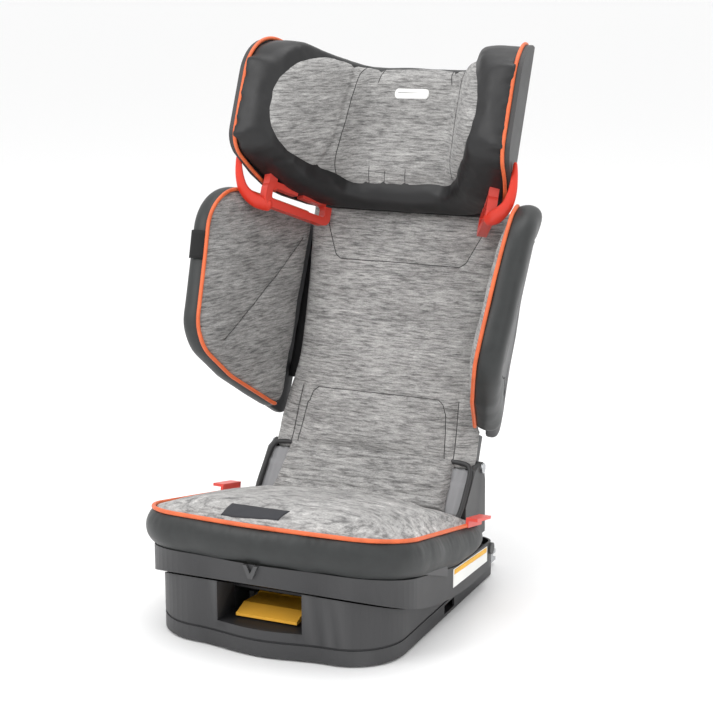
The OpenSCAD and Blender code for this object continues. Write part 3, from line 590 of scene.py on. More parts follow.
# Painted shade: the left wing's cloth is a darker copy of the same heather, for the shadow on its inner
# face
heather_wing = {1.0: heather("heather_wing_right", (LEAN, math.radians(8), 0)),
                -1.0: heather("heather_wing_left_shaded", (LEAN, math.radians(-8), 0), 0.82)}
heather_head = heather("heather_head", (LEAN, math.radians(3), 0), 0.97)
band_leather = leatherette("band_leatherette", "#2d2f2f", 0.46)
head_leather = leatherette("head_leatherette", "#1e1e1f", 0.44, 0.8)
piping_cloth = leatherette("piping_orange", "#dd6a3e", 0.5, 0.6)
base_plastic = plastic("base_plastic", "#262628", 0.50, specular=0.38)
shell_plastic = plastic("shell_plastic", "#272729", 0.48, specular=0.38)
frame_plastic = plastic("frame_plastic", "#1d1d1e", 0.48)
panel_plastic = plastic("panel_plastic", "#8b8b8d", 0.5)
pale_plastic = plastic("pale_plastic", "#cfcfca", 0.5)
wing_plastic = plastic("wing_plastic", "#2c2c2e", 0.45, specular=0.4)
red_plastic = plastic("red_plastic", "#d92c10", 0.36, 0.5, specular=0.5)
yellow_plastic = plastic("yellow_plastic", "#f2b010", 0.4, 0.5)
label_film = plastic("label_film", "#eeeeea", 0.45, 0.3, edge_highlight=False)
label_yellow = plastic("label_yellow", "#f1b52b", 0.45, 0.3, edge_highlight=False)
badge_white = plastic("badge_white", "#f4f4f2", 0.4, 0.3, edge_highlight=False)
patch_cloth = woven("patch_cloth", "#35363a")
tag_cloth = woven("tag_cloth", "#141415")
dark_thread = woven("dark_thread", "#4f4e4d")
seam_shadow = woven("seam_shadow", "#3b3a3a")
black_thread = woven("black_thread", "#1a1a1a")
rubber = plastic("rubber_black", "#161617", 0.8, 1.5, edge_highlight=False)
steel = metal("zinc_steel", "#b9bbbd")
foam_white = woven("foam_white", "#dcdad3")


# ---------------------------------------------------------------- outlines
def hull_outline(circles, count=160):
    """Outline of the hull of circles (a, b, r), evenly spaced, anticlockwise."""
    a = np.linspace(0, 2 * math.pi, 720, endpoint=False)
    way = np.stack([np.cos(a), np.sin(a)], 1)
    c = np.array(circles, float)
    reach = way @ c[:, :2].T + c[:, 2]
    best = reach.argmax(1)
    p = c[best, :2] + c[best, 2][:, None] * way
    d = np.r_[0, np.cumsum(np.linalg.norm(np.diff(np.r_[p, p[:1]], axis=0), axis=1))]
    at = np.linspace(0, d[-1], count, endpoint=False)
    closed = np.r_[p, p[:1]]
    return np.stack([np.interp(at, d, closed[:, i]) for i in (0, 1)], 1)


def to_spine(outline, spine):
    """Way from each point of an outline to the nearest point of a spine segment."""
    a, b = np.array(spine[0], float), np.array(spine[1], float)
    d = b - a
    t = np.clip(((outline - a) @ d) / (d @ d), 0, 1)
    return a + t[:, None] * d - outline


def inset(outline, amount, spine):
    """Outline moved towards its spine by amount, in mm; negative moves it outwards."""
    to = to_spine(outline, spine)
    far = np.linalg.norm(to, axis=1)
    return outline + to * (np.minimum(amount, far * 0.985) / far)[:, None]


def inset_share(outline, share, spine):
    """Outline moved by a share of the way to its spine."""
    return outline + to_spine(outline, spine) * share


def replaced(piece, body, slot, *nodes):
    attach(piece, body)
    if nodes:
        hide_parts(*nodes)
    return piece


# ---------------------------------------------------------------- seat cushion
CUSHION_HW, CUSHION_FRONT, CUSHION_REAR, BULGE = 177.0, -177.0, 106.0, 20.0
CORNER = 70.0


def piping_z(y):
    return 163.0 - math.tan(TILT) * (np.asarray(y, float) + 177.0)


def rim_z(y):
    return np.interp(y, [-210, -20, 20, 205], [122, 80, 72, 62])


def cushion_plan(hw, front, rear, rear_hw, count=200, waist=True):
    """Half outline of the cushion mirrored to a closed one, front edge bowed."""
    half = [(x, front - BULGE * math.cos(x / hw * math.pi / 2))
            for x in np.linspace(0, hw - CORNER, 12)]
    cx, cy = hw - CORNER, front + CORNER * 0.92
    start = half[-1]
    for a in np.linspace(-90, 0, 14)[1:]:
        r = math.radians(a)
        half.append((cx + CORNER * math.cos(r),
                     cy + (cy - start[1]) * math.sin(r)))
    half += [(hw, y) for y in np.linspace(cy + 8, rear - 36, 12)]
    if waist:
        half += [(hw - 3, rear - 24), (hw - 9, rear - 13), (hw - 20, rear - 4),
                 (hw - 34, rear + 2), (rear_hw + 6, rear + 10), (rear_hw, rear + 20)]
        half += [(x, rear + 22) for x in np.linspace(rear_hw - 12, 0, 8)]
    else:
        half += [(hw - 2, rear - 16), (hw - 8, rear - 5), (hw - 20, rear)]
        half += [(x, rear) for x in np.linspace(hw - 40, 0, 8)]
    half = np.array(half)
    left = half[1:-1][::-1] * [-1, 1]
    full = np.r_[half, left]
    return resample(np.c_[full, np.zeros(len(full))], count, True)[:, :2]


band_line = cushion_plan(CUSHION_HW, CUSHION_FRONT, CUSHION_REAR, 0, waist=False)
seat_spine = ((0.0, -70.0), (0.0, 30.0))
rings = []
BAND_STEPS = [(30, 0.0, -9), (9, 0.0, -9), (4, 0.0, -2), (-5, 0.10, 0), (-10.5, 0.28, 0), (-12.5, 0.5, 0),
              (-10.5, 0.72, 0), (-5.5, 0.90, 0), (0.5, 1.0, 0), (5, 1.0, -3), (30, 1.0, -7)]
for depth, share, drop in BAND_STEPS:
    ring = inset(band_line, depth, seat_spine)
    low, high = rim_z(band_line[:, 1]), piping_z(band_line[:, 1])
    rings.append(np.c_[ring, low + (high - low) * share + drop] / 1000)
band = loft("cushion_side_band", rings, band_leather)
refined(band, 2)
wrinkle(band, 34, 1.5, (1, 1, 0.55), 3.1)
wrinkle(band, 11, 0.55, (1.4, 1.4, 0.35), 9.4,
        lambda co: np.clip(1 - np.abs(piping_z(co[:, 1] * 1000) - co[:, 2] * 1000 - 8) / 22, 0, 1))
replaced(band, "seat", "grey_leatherette", "cushion_band")

top_line = cushion_plan(CUSHION_HW, CUSHION_FRONT, CUSHION_REAR, 128.0)
CROWN = 20.0
rings = []
for share, lift in [(0.35, -12), (0.06, -12), (0.02, -9), (-0.008, -3)]:
    ring = inset_share(top_line, share, seat_spine)
    rings.append(np.c_[ring, piping_z(ring[:, 1]) + lift] / 1000)
for share in np.linspace(0.01, 0.97, 22):
    ring = inset_share(top_line, share, seat_spine)
    dome = (CROWN - 2.5) * (1 - (1 - share) ** 2.8)
    rise = 2.5 + dome * np.interp(ring[:, 1], [-200, -120, 60, 128], [1, 1, 1, 1.12])
    rings.append(np.c_[ring, piping_z(ring[:, 1]) + rise - 1] / 1000)
cushion = loft("cushion_top_pad", rings, heather_seat)
soften(cushion, 4.5, 4.0, 3.0, lambda co, no: no[:, 2] < -0.3)
wrinkle(cushion, 60, 1.6, (1, 0.8, 1), 1.7)
wrinkle(cushion, 15, 0.5, (1, 1, 1), 5.2)
painted(cushion, heather_seat)
replaced(cushion, "seat", "heather_fabric", "cushion_top")

# piping follows the band's upper edge from one rear end around the front to the other
start = int(np.argmin(np.hypot(band_line[:, 0] - 171, band_line[:, 1] - 96)))
end = int(np.argmin(np.hypot(band_line[:, 0] + 171, band_line[:, 1] - 96)))
order = [(start - i) % len(band_line) for i in range((start - end) % len(band_line) + 1)]
path = inset(band_line, -1.6, seat_spine)[order]
line = np.c_[path, piping_z(path[:, 1]) + 0.6]
cushion_piping = tube("cushion_piping", smooth_line(line, 260) / 1000, 0.0027, piping_cloth)
replaced(cushion_piping, "seat", "grey_leatherette")

# ---------------------------------------------------------------- lower back pad
SLOPE_A, SLOPE_B = (96.0, 117.0), (149.0, 170.0)
rows, cols = 61, 61
front, rear = sheets(rows, cols)
length = math.hypot(SLOPE_B[0] - SLOPE_A[0], SLOPE_B[1] - SLOPE_A[1])
ny, nz = -(SLOPE_B[1] - SLOPE_A[1]) / length, (SLOPE_B[0] - SLOPE_A[0]) / length
CHANNELS = 5
for r in range(rows):
    k = r / (rows - 1)
    hw = np.interp(k, [0, 0.2, 1], [129, 125.5, 123])
    for c in range(cols):
        u = c / (cols - 1) * 2 - 1
        edge = min(1.0, (1 - abs(u)) * hw / 9)
        round_off = quarter(edge)
        puff = 3.2 * abs(math.sin(k * CHANNELS * math.pi)) ** 0.55
        high = round_off * (5 + puff) - (1 - round_off) * 4
        y = SLOPE_A[0] + (SLOPE_B[0] - SLOPE_A[0]) * k
        z = SLOPE_A[1] + (SLOPE_B[1] - SLOPE_A[1]) * k
        front[r, c] = (u * hw, y + ny * high, z + nz * high)
        rear[r, c] = (u * hw, y - ny * 8, z - nz * 8)
lower_pad = grid("lower_back_pad_cover", front / 1000, rear / 1000, heather_lower)
refined(lower_pad)
wrinkle(lower_pad, 22, 1.1, (1, 1, 1), 6.6)
replaced(lower_pad, "seat", "heather_fabric", "lower_back_pad")

# ---------------------------------------------------------------- back pad
rows, cols = 90, 72
W0, W1 = -9.0, 352.0
front, rear = sheets(rows, cols)
for r in range(rows):
    k = r / (rows - 1)
    w = W0 + (W1 - W0) * k
    hw = np.interp(w, [-9, 4, 30, 60, 90, 110, 130, 200, 313, 352],
                   [146, 152, 151, 148, 141, 137, 135, 138, 150, 152])
    main = np.interp(w, [-9, 90, 200, 313, 352], [122, 122, 124, 137, 140])
    foot = quarter(min(1.0, (w - W0) / 9))
    for c in range(cols):
        u = c / (cols - 1) * 2 - 1
        x = u * hw
        side = min(1.0, max(0.0, (hw - abs(x)) / 8))
        round_off = quarter(side)
        crown = 3.0 * (1 - (x / hw) ** 2)
        flap = max(0.0, abs(x) - main) * 0.5 if w < 90 else 0.0
        v = -8 - (19 - min(flap, 11)) * round_off * foot - crown * foot
        front[r, c] = (x, v, w)
        rear[r, c] = (x * 0.985, -5.5, w)
f3 = from_back(front.reshape(-1, 3)).reshape(rows, cols, 3)
r3 = from_back(rear.reshape(-1, 3)).reshape(rows, cols, 3)
back_pad = grid("back_pad_cover", f3, r3, heather_back)
normal_out = from_back([(0, -1, 0)])[0] - from_back([(0, 0, 0)])[0]
normal_out /= np.linalg.norm(normal_out)
soften(back_pad, 4.5, 4.0, 3.0, lambda co, no: no @ normal_out < 0.1)
wrinkle(back_pad, 70, 2.0, (1, 1, 0.8), 2.2)
wrinkle(back_pad, 16, 0.55, (1, 1, 1), 4.9)


def flat_back(co):
    return to_back(co)[:, [0, 2]]


upper_seam = [(-126, 352), (-117, 318), (-98, 274), (-90, 268),
              (90, 268), (98, 274), (117, 318), (126, 352)]
lower_seam = [(-112, -9), (-104, 60), (-101, 62), (-97, 76), (-90, 82),
              (90, 82), (97, 76), (103, 62), (110, 0), (112, -9)]
flap_seam = [[(s * 122, -9), (s * 120, 40), (s * 117, 84)] for s in (-1, 1)]
groove(back_pad, flat_back, normal_out, [upper_seam, lower_seam], 2.6, 4.0)
groove(back_pad, flat_back, normal_out, flap_seam, 3.2, 4.0)
painted(back_pad, heather_back)
replaced(back_pad, "back", "heather_fabric", "back_pad")
seam_lines = [from_back([(x, -30, w) for x, w in q]) for q in [upper_seam, lower_seam] + flap_seam]
thread = stitches("back_pad_thread", back_pad, seam_lines, -normal_out, dark_thread)
replaced(thread, "back", "heather_fabric")
# Painted shadow: dark cords lie along the back pad's seam grooves
seam_shadows = seam_shadow_cord("back_pad_seam_shadows", back_pad, seam_lines, -normal_out, seam_shadow)
replaced(seam_shadows, "back", "heather_fabric")

# dark cloth beside the pad, between it and the wings
for side_name, side in SIDES:
    rows, cols = 24, 8
    face, behind = sheets(rows, cols)
    for r in range(rows):
        w = 96 + 240 * r / (rows - 1)
        for c in range(cols):
            x = 112 + 38 * c / (cols - 1)
            bulge = 2.5 * math.sin(math.pi * c / (cols - 1))
            face[r, c] = from_back([(side * x, -9 - bulge, w)])[0]
            behind[r, c] = from_back([(side * x, -5.2, w)])[0]
    cloth_side = grid("back_side_cloth_" + side_name, face, behind, head_leather)
    wrinkle(cloth_side, 24, 0.8, (1, 1, 1), 5.5 + side)
    replaced(cloth_side, "back", "black_leatherette")

# ---------------------------------------------------------------- side wings
WING = [(125, 256, 74), (142, 139, 55), (104, 118, 50), (18, 314, 16), (20, 68, 17)]
WING_BACK = WING + [(-18, 308, 14), (-14, 56, 14)]
wing_line = hull_outline(WING)
wing_back_line = hull_outline(WING_BACK)
wing_spine = ((70.0, 130.0), (62.0, 250.0))
back_spine = ((50.0, 130.0), (50.0, 250.0))


def wing_rings(outline, spine, steps, side):
    out = []
    for depth, n in steps:
        p = inset(outline, depth, spine)
        out.append(from_wing(np.c_[p[:, 0], np.full(len(p), n), p[:, 1]], side))
    return out


for side_name, side in SIDES:
    body = "wing_" + side_name
    steps = [(60, 11), (3, 11), (1.2, 8), (0.6, 3), (1.5, 0.5)]
    steps += [(d, 0.5 - 7.5 * (1 - math.exp(-d / 13))) for d in (3, 6, 10, 15, 22, 30, 40, 52, 66)]
    pad = loft("wing_pad_" + side_name + "_cover", wing_rings(wing_line, wing_spine, steps, side),
               heather_wing[side])
    inward = from_wing([(90, -1, 190)], side)[0] - from_wing([(90, 0, 190)], side)[0]
    inward /= np.linalg.norm(inward)
    soften(pad, 4.5, 3.0, 3.0, lambda co, no: no @ inward < 0.2)
    wrinkle(pad, 45, 1.5, (1, 1, 1), 7.7 + side)
    wrinkle(pad, 14, 0.5, (1, 1, 1), 2.7 + side)

    def flat_wing(co, side=side):
        return to_wing(co, side)[:, [0, 2]]

    diagonal = [(20, 292), (60, 232), (104, 172), (150, 112)]
    groove(pad, flat_wing, inward, [diagonal], 2.8, 4.2)
    painted(pad, heather_wing[side])
    replaced(pad, body, "heather_fabric", "wing_pad_" + side_name)
    seam = [from_wing([(s, -8, w) for s, w in diagonal], side)]
    thread = stitches("wing_thread_" + side_name, pad, seam, -inward, dark_thread)
    replaced(thread, body, "heather_fabric")
    # Painted shadow: a dark cord lies along the wing pad's seam groove
    seam_shadows = seam_shadow_cord("wing_pad_seam_shadow_" + side_name, pad, seam, -inward, seam_shadow)
    replaced(seam_shadows, body, "heather_fabric")

    bowl = [(3, 1.5), (0.5, 2.5), (-2.5, 7), (-4.5, 14), (-4.5, 21), (-1.5, 28), (5, 33), (15, 35.5),
            (30, 36), (44, 35), (51, 33), (52, 29), (40, 25), (20, 18), (7, 12), (4, 6)]
    wrap = loft("wing_band_" + side_name, wing_rings(wing_line, wing_spine, bowl, side), band_leather,
                torus=True)
    refined(wrap)
    wrinkle(wrap, 40, 1.0, (1, 1, 1), 8.1 + side)
    replaced(wrap, body, "grey_leatherette")

    shell_steps = [(70, 13.5), (6, 13.5), (2, 15), (0.5, 18), (0.5, 24), (2, 28), (7, 31.5), (16, 33.2),
                   (30, 34), (46, 34.2), (60, 34.4)]
    shell = loft("wing_shell_" + side_name + "_skin",
                 wing_rings(wing_back_line, back_spine, shell_steps, side), wing_plastic)
    refined(shell)
    replaced(shell, body, "shell_plastic", "wing_shell_" + side_name)

    # the piping runs around the free edge only
    free = [i for i in range(len(wing_line)) if wing_line[i, 0] > 12]
    jump = [j for j in range(len(free)) if free[j] - free[j - 1] != 1]
    cut = jump[-1] if jump and jump[-1] else 0
    free = free[cut:] + free[:cut]
    p = inset(wing_line, -0.4, wing_spine)[free]
    pipe = from_wing(np.c_[p[:, 0], np.full(len(p), 0.6), p[:, 1]], side)
    edge = tube("wing_piping_" + side_name, smooth_line(pipe, 200), 0.0027, piping_cloth)
    replaced(edge, body, "heather_fabric")

    # seam where the leatherette meets the shell
    p = inset(wing_line, 52.5, wing_spine)
    seam_path = from_wing(np.c_[p[:, 0], np.full(len(p), 33.8), p[:, 1]], side)
    cordlet = tube("wing_seam_" + side_name, smooth_line(seam_path, 200, True), 0.0011, black_thread,
                   closed=True)
    replaced(cordlet, body, "grey_leatherette")

# blank tag sewn into the left wing's front seam
tag_n = [1.5, 5, 9, 14, 19, 23.5]
tag_d = [-0.5, -4.5, -6.2, -7.4, -7.6, -6.6]
tag_w = np.linspace(213, 252, 8)
outer, inner = sheets(6, 8)
for i, (n, d) in enumerate(zip(tag_n, tag_d)):
    for j, w in enumerate(tag_w):
        k = int(np.argmin(np.hypot(wing_line[:, 1] - w, (wing_line[:, 0] - 200) * 0.6)))
        for sheet, extra in ((outer, 1.4), (inner, 0.2)):
            q = inset(wing_line[k:k + 1], d - extra, wing_spine)[0]
            sheet[i, j] = from_wing([(q[0], n, w)], -1.0)[0]
tag = grid("wing_tag_loop", outer, inner, tag_cloth)
replaced(tag, "wing_left", "dark_label", "wing_tag")


# ---------------------------------------------------------------- headrest
HEAD_W0, HEAD_W1, HEAD_HW, HEAD_BACK = 336.0, 548.0, 206.0, -36.0
EARS = [(19, 0), (25, 13), (33, 20), (45, 2), (23, 0)]
HEAD_SIDE = [(-148, 478, 66), (-180, 398, 34), (-118, 354, 14), (-48, 348, 12), (-35, 534, 12)]
HALF_COUNT = 90


def head_curve(t, ahead=0.0):
    """Plan of the headrest at thickness t, from its left front end to its right one."""
    k = max(0.0, t - 7) / 30
    plain = [(HEAD_HW - 103 - 0.6 * t, HEAD_BACK - t), (HEAD_HW - 62 - 0.9 * t, HEAD_BACK - 22 - 0.7 * t),
             (HEAD_HW - 36 - t, HEAD_BACK - 54 - 0.5 * t), (HEAD_HW - 14 - t, -150.0),
             (HEAD_HW - 4 - t, -215.0 - ahead)]
    pts = [(a - k * e[0], b - k * e[1], 0) for (a, b), e in zip(plain, EARS)]
    full = [(-x, v, 0) for x, v, _ in pts[::-1]] + [(0, HEAD_BACK - t, 0)] + pts
    line = smooth_line(full, 2 * HALF_COUNT + 1)
    for _ in range(60):
        line[1:-1] = (line[:-2] + 2 * line[1:-1] + line[2:]) / 4
    return resample(line, 2 * HALF_COUNT + 1)[:, :2]


CURVE_OUT, CURVE_IN = head_curve(8, 4), head_curve(37, 4)
HEAD_HALF = float(np.linalg.norm(np.diff(CURVE_IN, axis=0), axis=1).sum() / 2)
side_line = hull_outline(HEAD_SIDE, 400)


def head_point(u, w, t):
    """Point at arc length u from the centre, height w and thickness t, in the part's frame."""
    u, w, t = (np.asarray(q, float) for q in (u, w, t))
    at = (u / HEAD_HALF + 1) * HALF_COUNT
    ids = np.arange(2 * HALF_COUNT + 1)
    f = (t - 8) / 29
    x = np.interp(at, ids, CURVE_OUT[:, 0]) * (1 - f) + np.interp(at, ids, CURVE_IN[:, 0]) * f
    v = np.interp(at, ids, CURVE_OUT[:, 1]) * (1 - f) + np.interp(at, ids, CURVE_IN[:, 1]) * f
    over = np.clip(np.abs(u) - HEAD_HALF, 0, None)
    return from_back(np.stack([x, v - over, w + 0 * x], -1).reshape(-1, 3))


def side_range(v):
    """Lowest and highest point of the headrest's side outline at depth v."""
    near = side_line[np.abs(side_line[:, 0] - v) < 2.5]
    return (near[:, 1].min(), near[:, 1].max()) if len(near) else (398.0, 402.0)


rows, cols = 60, 150
front, rear = sheets(rows, cols)
ids = np.arange(2 * HALF_COUNT + 1)
for c in range(cols):
    q = c / (cols - 1) * 2 - 1
    u = HEAD_HALF * math.copysign(1 - (1 - abs(q)) ** 1.25, q)
    at = (u / HEAD_HALF + 1) * HALF_COUNT
    v_out, v_in = np.interp(at, ids, CURVE_OUT[:, 1]), np.interp(at, ids, CURVE_IN[:, 1])
    low, high = side_range(max(-212.5, (v_out + v_in) / 2))
    for r in range(rows):
        k = r / (rows - 1)
        w = low + (high - low) * (0.5 - 0.5 * math.cos(k * math.pi))
        e = min(1.0, (w - low) / 17, (high - w) / 12)
        e = quarter(e)
        g = min(1.0, (HEAD_HALF - abs(u)) / 16)
        g = quarter(g)
        t = 8 + 27.0 * e * (0.45 + 0.55 * g)
        front[r, c] = head_point(u, w, t)[0]
        rear[r, c] = head_point(u, w, 7.6)[0]
rim = grid("head_rim_cover", front, rear, head_leather)
soften(rim, 4.5, 2.5, 2.0, lambda co, no: (no @ normal_out) < 0.05, rounds=4)
wrinkle(rim, 44, 1.2, (1, 1, 1), 3.3)
wrinkle(rim, 12, 0.35, (1, 1, 1), 8.8)
# Half of the insert's edge as arc length and height. Ten of the points are within 2 mm of what a
# scratch program worked out from positions read off the photo; the others follow it by hand.
half = [(0, 361.5), (17, 361), (49, 363.5), (79, 366), (104, 367), (134, 368), (163, 372), (188, 378),
        (208, 389), (218, 405), (221, 430), (220, 455), (215, 478), (203, 497), (186, 511), (166, 521),
        (145, 529), (127, 533), (93, 537), (49, 540), (0, 541)]
full = half + [(-u, w) for u, w in half[-2:0:-1]]
insert_line = smooth_line([(u, w, 0) for u, w in full], 220, True)[:, :2]
rows, cols = 56, 130
front, rear = sheets(rows, cols)
closed_line = np.r_[insert_line, insert_line[:1]]
reach = insert_line[:, 0].max() - 0.3
for c in range(cols):
    q = c / (cols - 1) * 2 - 1
    u = reach * math.copysign(1 - (1 - abs(q)) ** 1.4, q)
    near = insert_line[np.abs(insert_line[:, 0] - u) < 4.0]
    upper, lower = near[near[:, 1] > 448], near[near[:, 1] <= 448]
    high = upper[np.abs(upper[:, 0] - u).argmin(), 1] if len(upper) else 450.0
    low = lower[np.abs(lower[:, 0] - u).argmin(), 1] if len(lower) else 446.0
    w = low + (high - low) * (0.5 - 0.5 * np.cos(np.linspace(0, math.pi, rows)))
    d = line_distance(np.stack([np.full(rows, u), w], 1), [closed_line])
    e = np.clip(d / 20, 0, 1)
    lip = np.clip(d / 3.0, 0, 1)
    t = 30.0 + 5.5 * np.sqrt(1 - (1 - lip) ** 2) + 4.5 * (1 - (1 - e) ** 2)
    front[:, c] = head_point(np.full(rows, u), w, t)
    rear[:, c] = head_point(np.full(rows, u), w, np.full(rows, 24.0))
insert = grid("head_insert_cover", front, rear, heather_head)
soften(insert, 4.5, 3.5, 3.0, lambda co, no: (no @ normal_out) < -0.2)


def to_head(co):
    """Arc length and height on the headrest's inner face."""
    p = to_back(co)
    d = ((p[:, None, :2] - CURVE_IN[None]) ** 2).sum(2)
    return np.stack([(d.argmin(1) / HALF_COUNT - 1) * HEAD_HALF, p[:, 2]], 1)


wrinkle(insert, 60, 1.8, (1, 1, 1), 1.3)
wrinkle(insert, 15, 0.5, (1, 1, 1), 6.1)
# three points of the side seam and seven of the ticks are within 2 mm of that program's output too
side_seam = [(92, 545), (97, 522), (102, 500), (107, 474), (112, 442), (119, 408), (132, 372)]
head_seams = [side_seam, [(-u, w) for u, w in side_seam]]
ticks = [[(-56, 548), (-57, 528), (-61, 512)], [(56, 548), (57, 528), (61, 512)],
         [(-52, 392), (-51, 366)], [(-26, 388), (-26, 364)], [(7, 390), (8, 364)]]
co, no = get_co(insert), get_normals(insert)
flat = to_head(co)
for lines, depth, width in ((head_seams, 3.0, 4.2), (ticks, 1.7, 2.8)):
    d = line_distance(flat, lines)
    sink = depth * np.exp(-(d / width) ** 2)
    co = co - no * (sink * np.clip(no @ normal_out * 2 + 0.3, 0, 1) / 1000)[:, None]
set_co(insert, co)
lines = [head_point(*np.array([(u, w, 44) for u, w in q]).T) for q in head_seams + ticks]
inward_head = -normal_out
# Painted shadow: dark cords lie along the insert's seam grooves and ticks
seam_shadows = seam_shadow_cord("head_insert_seam_shadows", insert, lines, inward_head, seam_shadow, 0.7)
replaced(seam_shadows, "headrest", "heather_fabric")
for piece, leather in ((rim, head_leather), (insert, heather_head)):
    painted(piece, leather)
replaced(rim, "headrest", "black_leatherette", "head_rim")
replaced(insert, "headrest", "heather_fabric", "head_insert")

for side_name, side in SIDES:
    i0 = [i for i in range(len(side_line)) if side_line[i][0] < -112]
    jump = [j for j in range(1, len(i0)) if i0[j] != i0[j - 1] + 1]
    i0 = i0[jump[0]:] + i0[:jump[0]] if jump else i0
    edge_v, edge_w = side_line[i0, 0], side_line[i0, 1]
    half_out = head_curve(8.5, 4)[HALF_COUNT:]
    order = np.argsort(-half_out[:, 1])
    x = np.interp(-edge_v, -half_out[order, 1], half_out[order, 0])
    centre = np.array([-160.0, 435.0])
    away = np.stack([edge_v, edge_w], 1) - centre
    away /= np.linalg.norm(away, axis=1)[:, None]
    path = np.stack([side * (x + 0.8), edge_v + away[:, 0] * 1.2, edge_w + away[:, 1] * 1.2], 1)
    pipe = tube("head_piping_" + side_name, smooth_line(from_back(path), 180), 0.0026, piping_cloth)
    replaced(pipe, "headrest", "grey_leatherette")

# blank pill badge
outline = []
for a in np.linspace(0, 2 * math.pi, 48, endpoint=False):
    outline.append((28.5 * (1 if math.cos(a) >= 0 else -1) + 7.2 * math.cos(a), 498 + 7.2 * math.sin(a)))
outline = np.array(outline) + [-2, 0]
badge_spine = ((-30.0, 498.0), (27.0, 498.0))
tree = surface(insert)
rings = []
for depth, lift in [(5, -1.5), (0, -1.5), (0, 1.2), (0.6, 2.0), (1.6, 2.3), (4, 2.4), (6.9, 2.4)]:
    p = inset(outline, depth, badge_spine)
    ring = []
    for u, w in p:
        q = head_point(u, w, 60.0)[0]
        hit = tree.ray_cast(Vector(q), Vector(-normal_out))[0]
        ring.append(np.array(hit) + normal_out * lift / 1000)
    rings.append(np.array(ring))
badge = loft("head_badge_pill", rings, badge_white)
replaced(badge, "headrest", "label", "head_badge")

# ---------------------------------------------------------------- small soft and hard details
# cloth patch on the cushion's front
rows, cols = 9, 25
tree = surface(cushion)
top, under = sheets(rows, cols)
for r in range(rows):
    for c in range(cols):
        x, y = -57 + 79 * c / (cols - 1), -181 + 31 * r / (rows - 1)
        y += 4.0 * (x + 17) ** 2 / 40 ** 2 * 0.4
        hit = tree.ray_cast(Vector((x / 1000, y / 1000, 0.3)), Vector((0, 0, -1)))[0]
        z = hit.z if hit else 0.165
        top[r, c] = (x / 1000, y / 1000, z + 0.0011)
        under[r, c] = (x / 1000, y / 1000, z - 0.001)
patch = grid("cushion_patch_cloth", top, under, patch_cloth)
replaced(patch, "seat", "dark_label", "cushion_patch")

# yellow stripe along the side label
tree = surface(NODES["side_label"])
ys = np.linspace(9, 129, 40)
top, under = sheets(4, 40)
for c, y in enumerate(ys):
    z = 0.090
    while z > 0.04 and tree.ray_cast(Vector((0.3, y / 1000, z)), Vector((-1, 0, 0)))[0] is None:
        z -= 0.0004
    for r in range(4):
        zz = z - 0.0008 - 0.0022 * r
        hit = tree.ray_cast(Vector((0.3, y / 1000, zz)), Vector((-1, 0, 0)))[0]
        x = hit.x if hit else 0.178
        top[r, c] = (x + 0.0003, y / 1000, zz)
        under[r, c] = (x - 0.0002, y / 1000, zz)
stripe = grid("side_label_stripe", top, under, label_yellow)
replaced(stripe, "seat", "yellow_plastic")

# ---------------------------------------------------------------- shoulder-belt guides
for side_name, side in SIDES:
    source = NODES["belt_guide_" + side_name]
    loop = bpy.data.objects.new("belt_guide_loop_" + side_name, source.data.copy())
    bpy.context.scene.collection.objects.link(loop)
    co = to_back(get_co(loop))
    across = np.array([side * 0.914, 0.407])
    d = co[:, :2] @ across
    co[:, :2] += across * ((d - (d.min() + d.max()) / 2) * 0.45)[:, None]
    co[:, 2] += 9.0
    set_co(loop, from_back(co))
    painted(loop, red_plastic)
    eased(loop, 3.2)
    baked(loop)
    replaced(loop, "headrest", "red_plastic", "belt_guide_" + side_name)
    hook = [(200, -179, 379), (200, -174, 360), (198, -168, 342), (192, -162, 326), (181, -155, 316),
            (168, -146, 311), (157, -137, 310)]
    path = smooth_line(from_back([(side * x, v, w) for x, v, w in hook]), 40)
    size = np.interp(np.linspace(0, 1, 40), [0, 0.15, 0.5, 0.8, 1], [2.6, 4.4, 7.5, 10.5, 8.0]) / 1000
    fin = tube("belt_guide_hook_" + side_name, path, size, red_plastic, sides=16, flat=0.62)
    refined(fin)
    replaced(fin, "headrest", "red_plastic")

# ---------------------------------------------------------------- frame beside the lower pad
for side_name, side in SIDES:
    rows, cols = 20, 10
    face, behind = sheets(rows, cols)
    for r in range(rows):
        k = r / (rows - 1)
        for c in range(cols):
            x = 119 + 29 * c / (cols - 1)
            rib = 1.3 if c in (3, 6) or r in (12, 13) else 0.0
            y, z = 100 + 45 * k, 112 + 51 * k
            face[r, c] = (side * x, y + ny * (rib - 2), z + nz * (rib - 2))
            behind[r, c] = (side * x, y - ny * 6, z - nz * 6)
    plate = grid("lower_side_panel_" + side_name, face / 1000, behind / 1000, panel_plastic)
    replaced(plate, "seat", "panel_plastic")
    rim_line = [(149, 92, 108), (151, 104, 120), (151, 122, 140), (150, 138, 158), (146, 145, 166),
                (138, 148, 169), (118, 149, 170)]
    path = smooth_line(np.array([(side * x, y, z) for x, y, z in rim_line]), 60) / 1000
    bead = tube("lower_side_rim_" + side_name, path, 0.0034, frame_plastic, sides=12)
    replaced(bead, "seat", "frame_plastic")

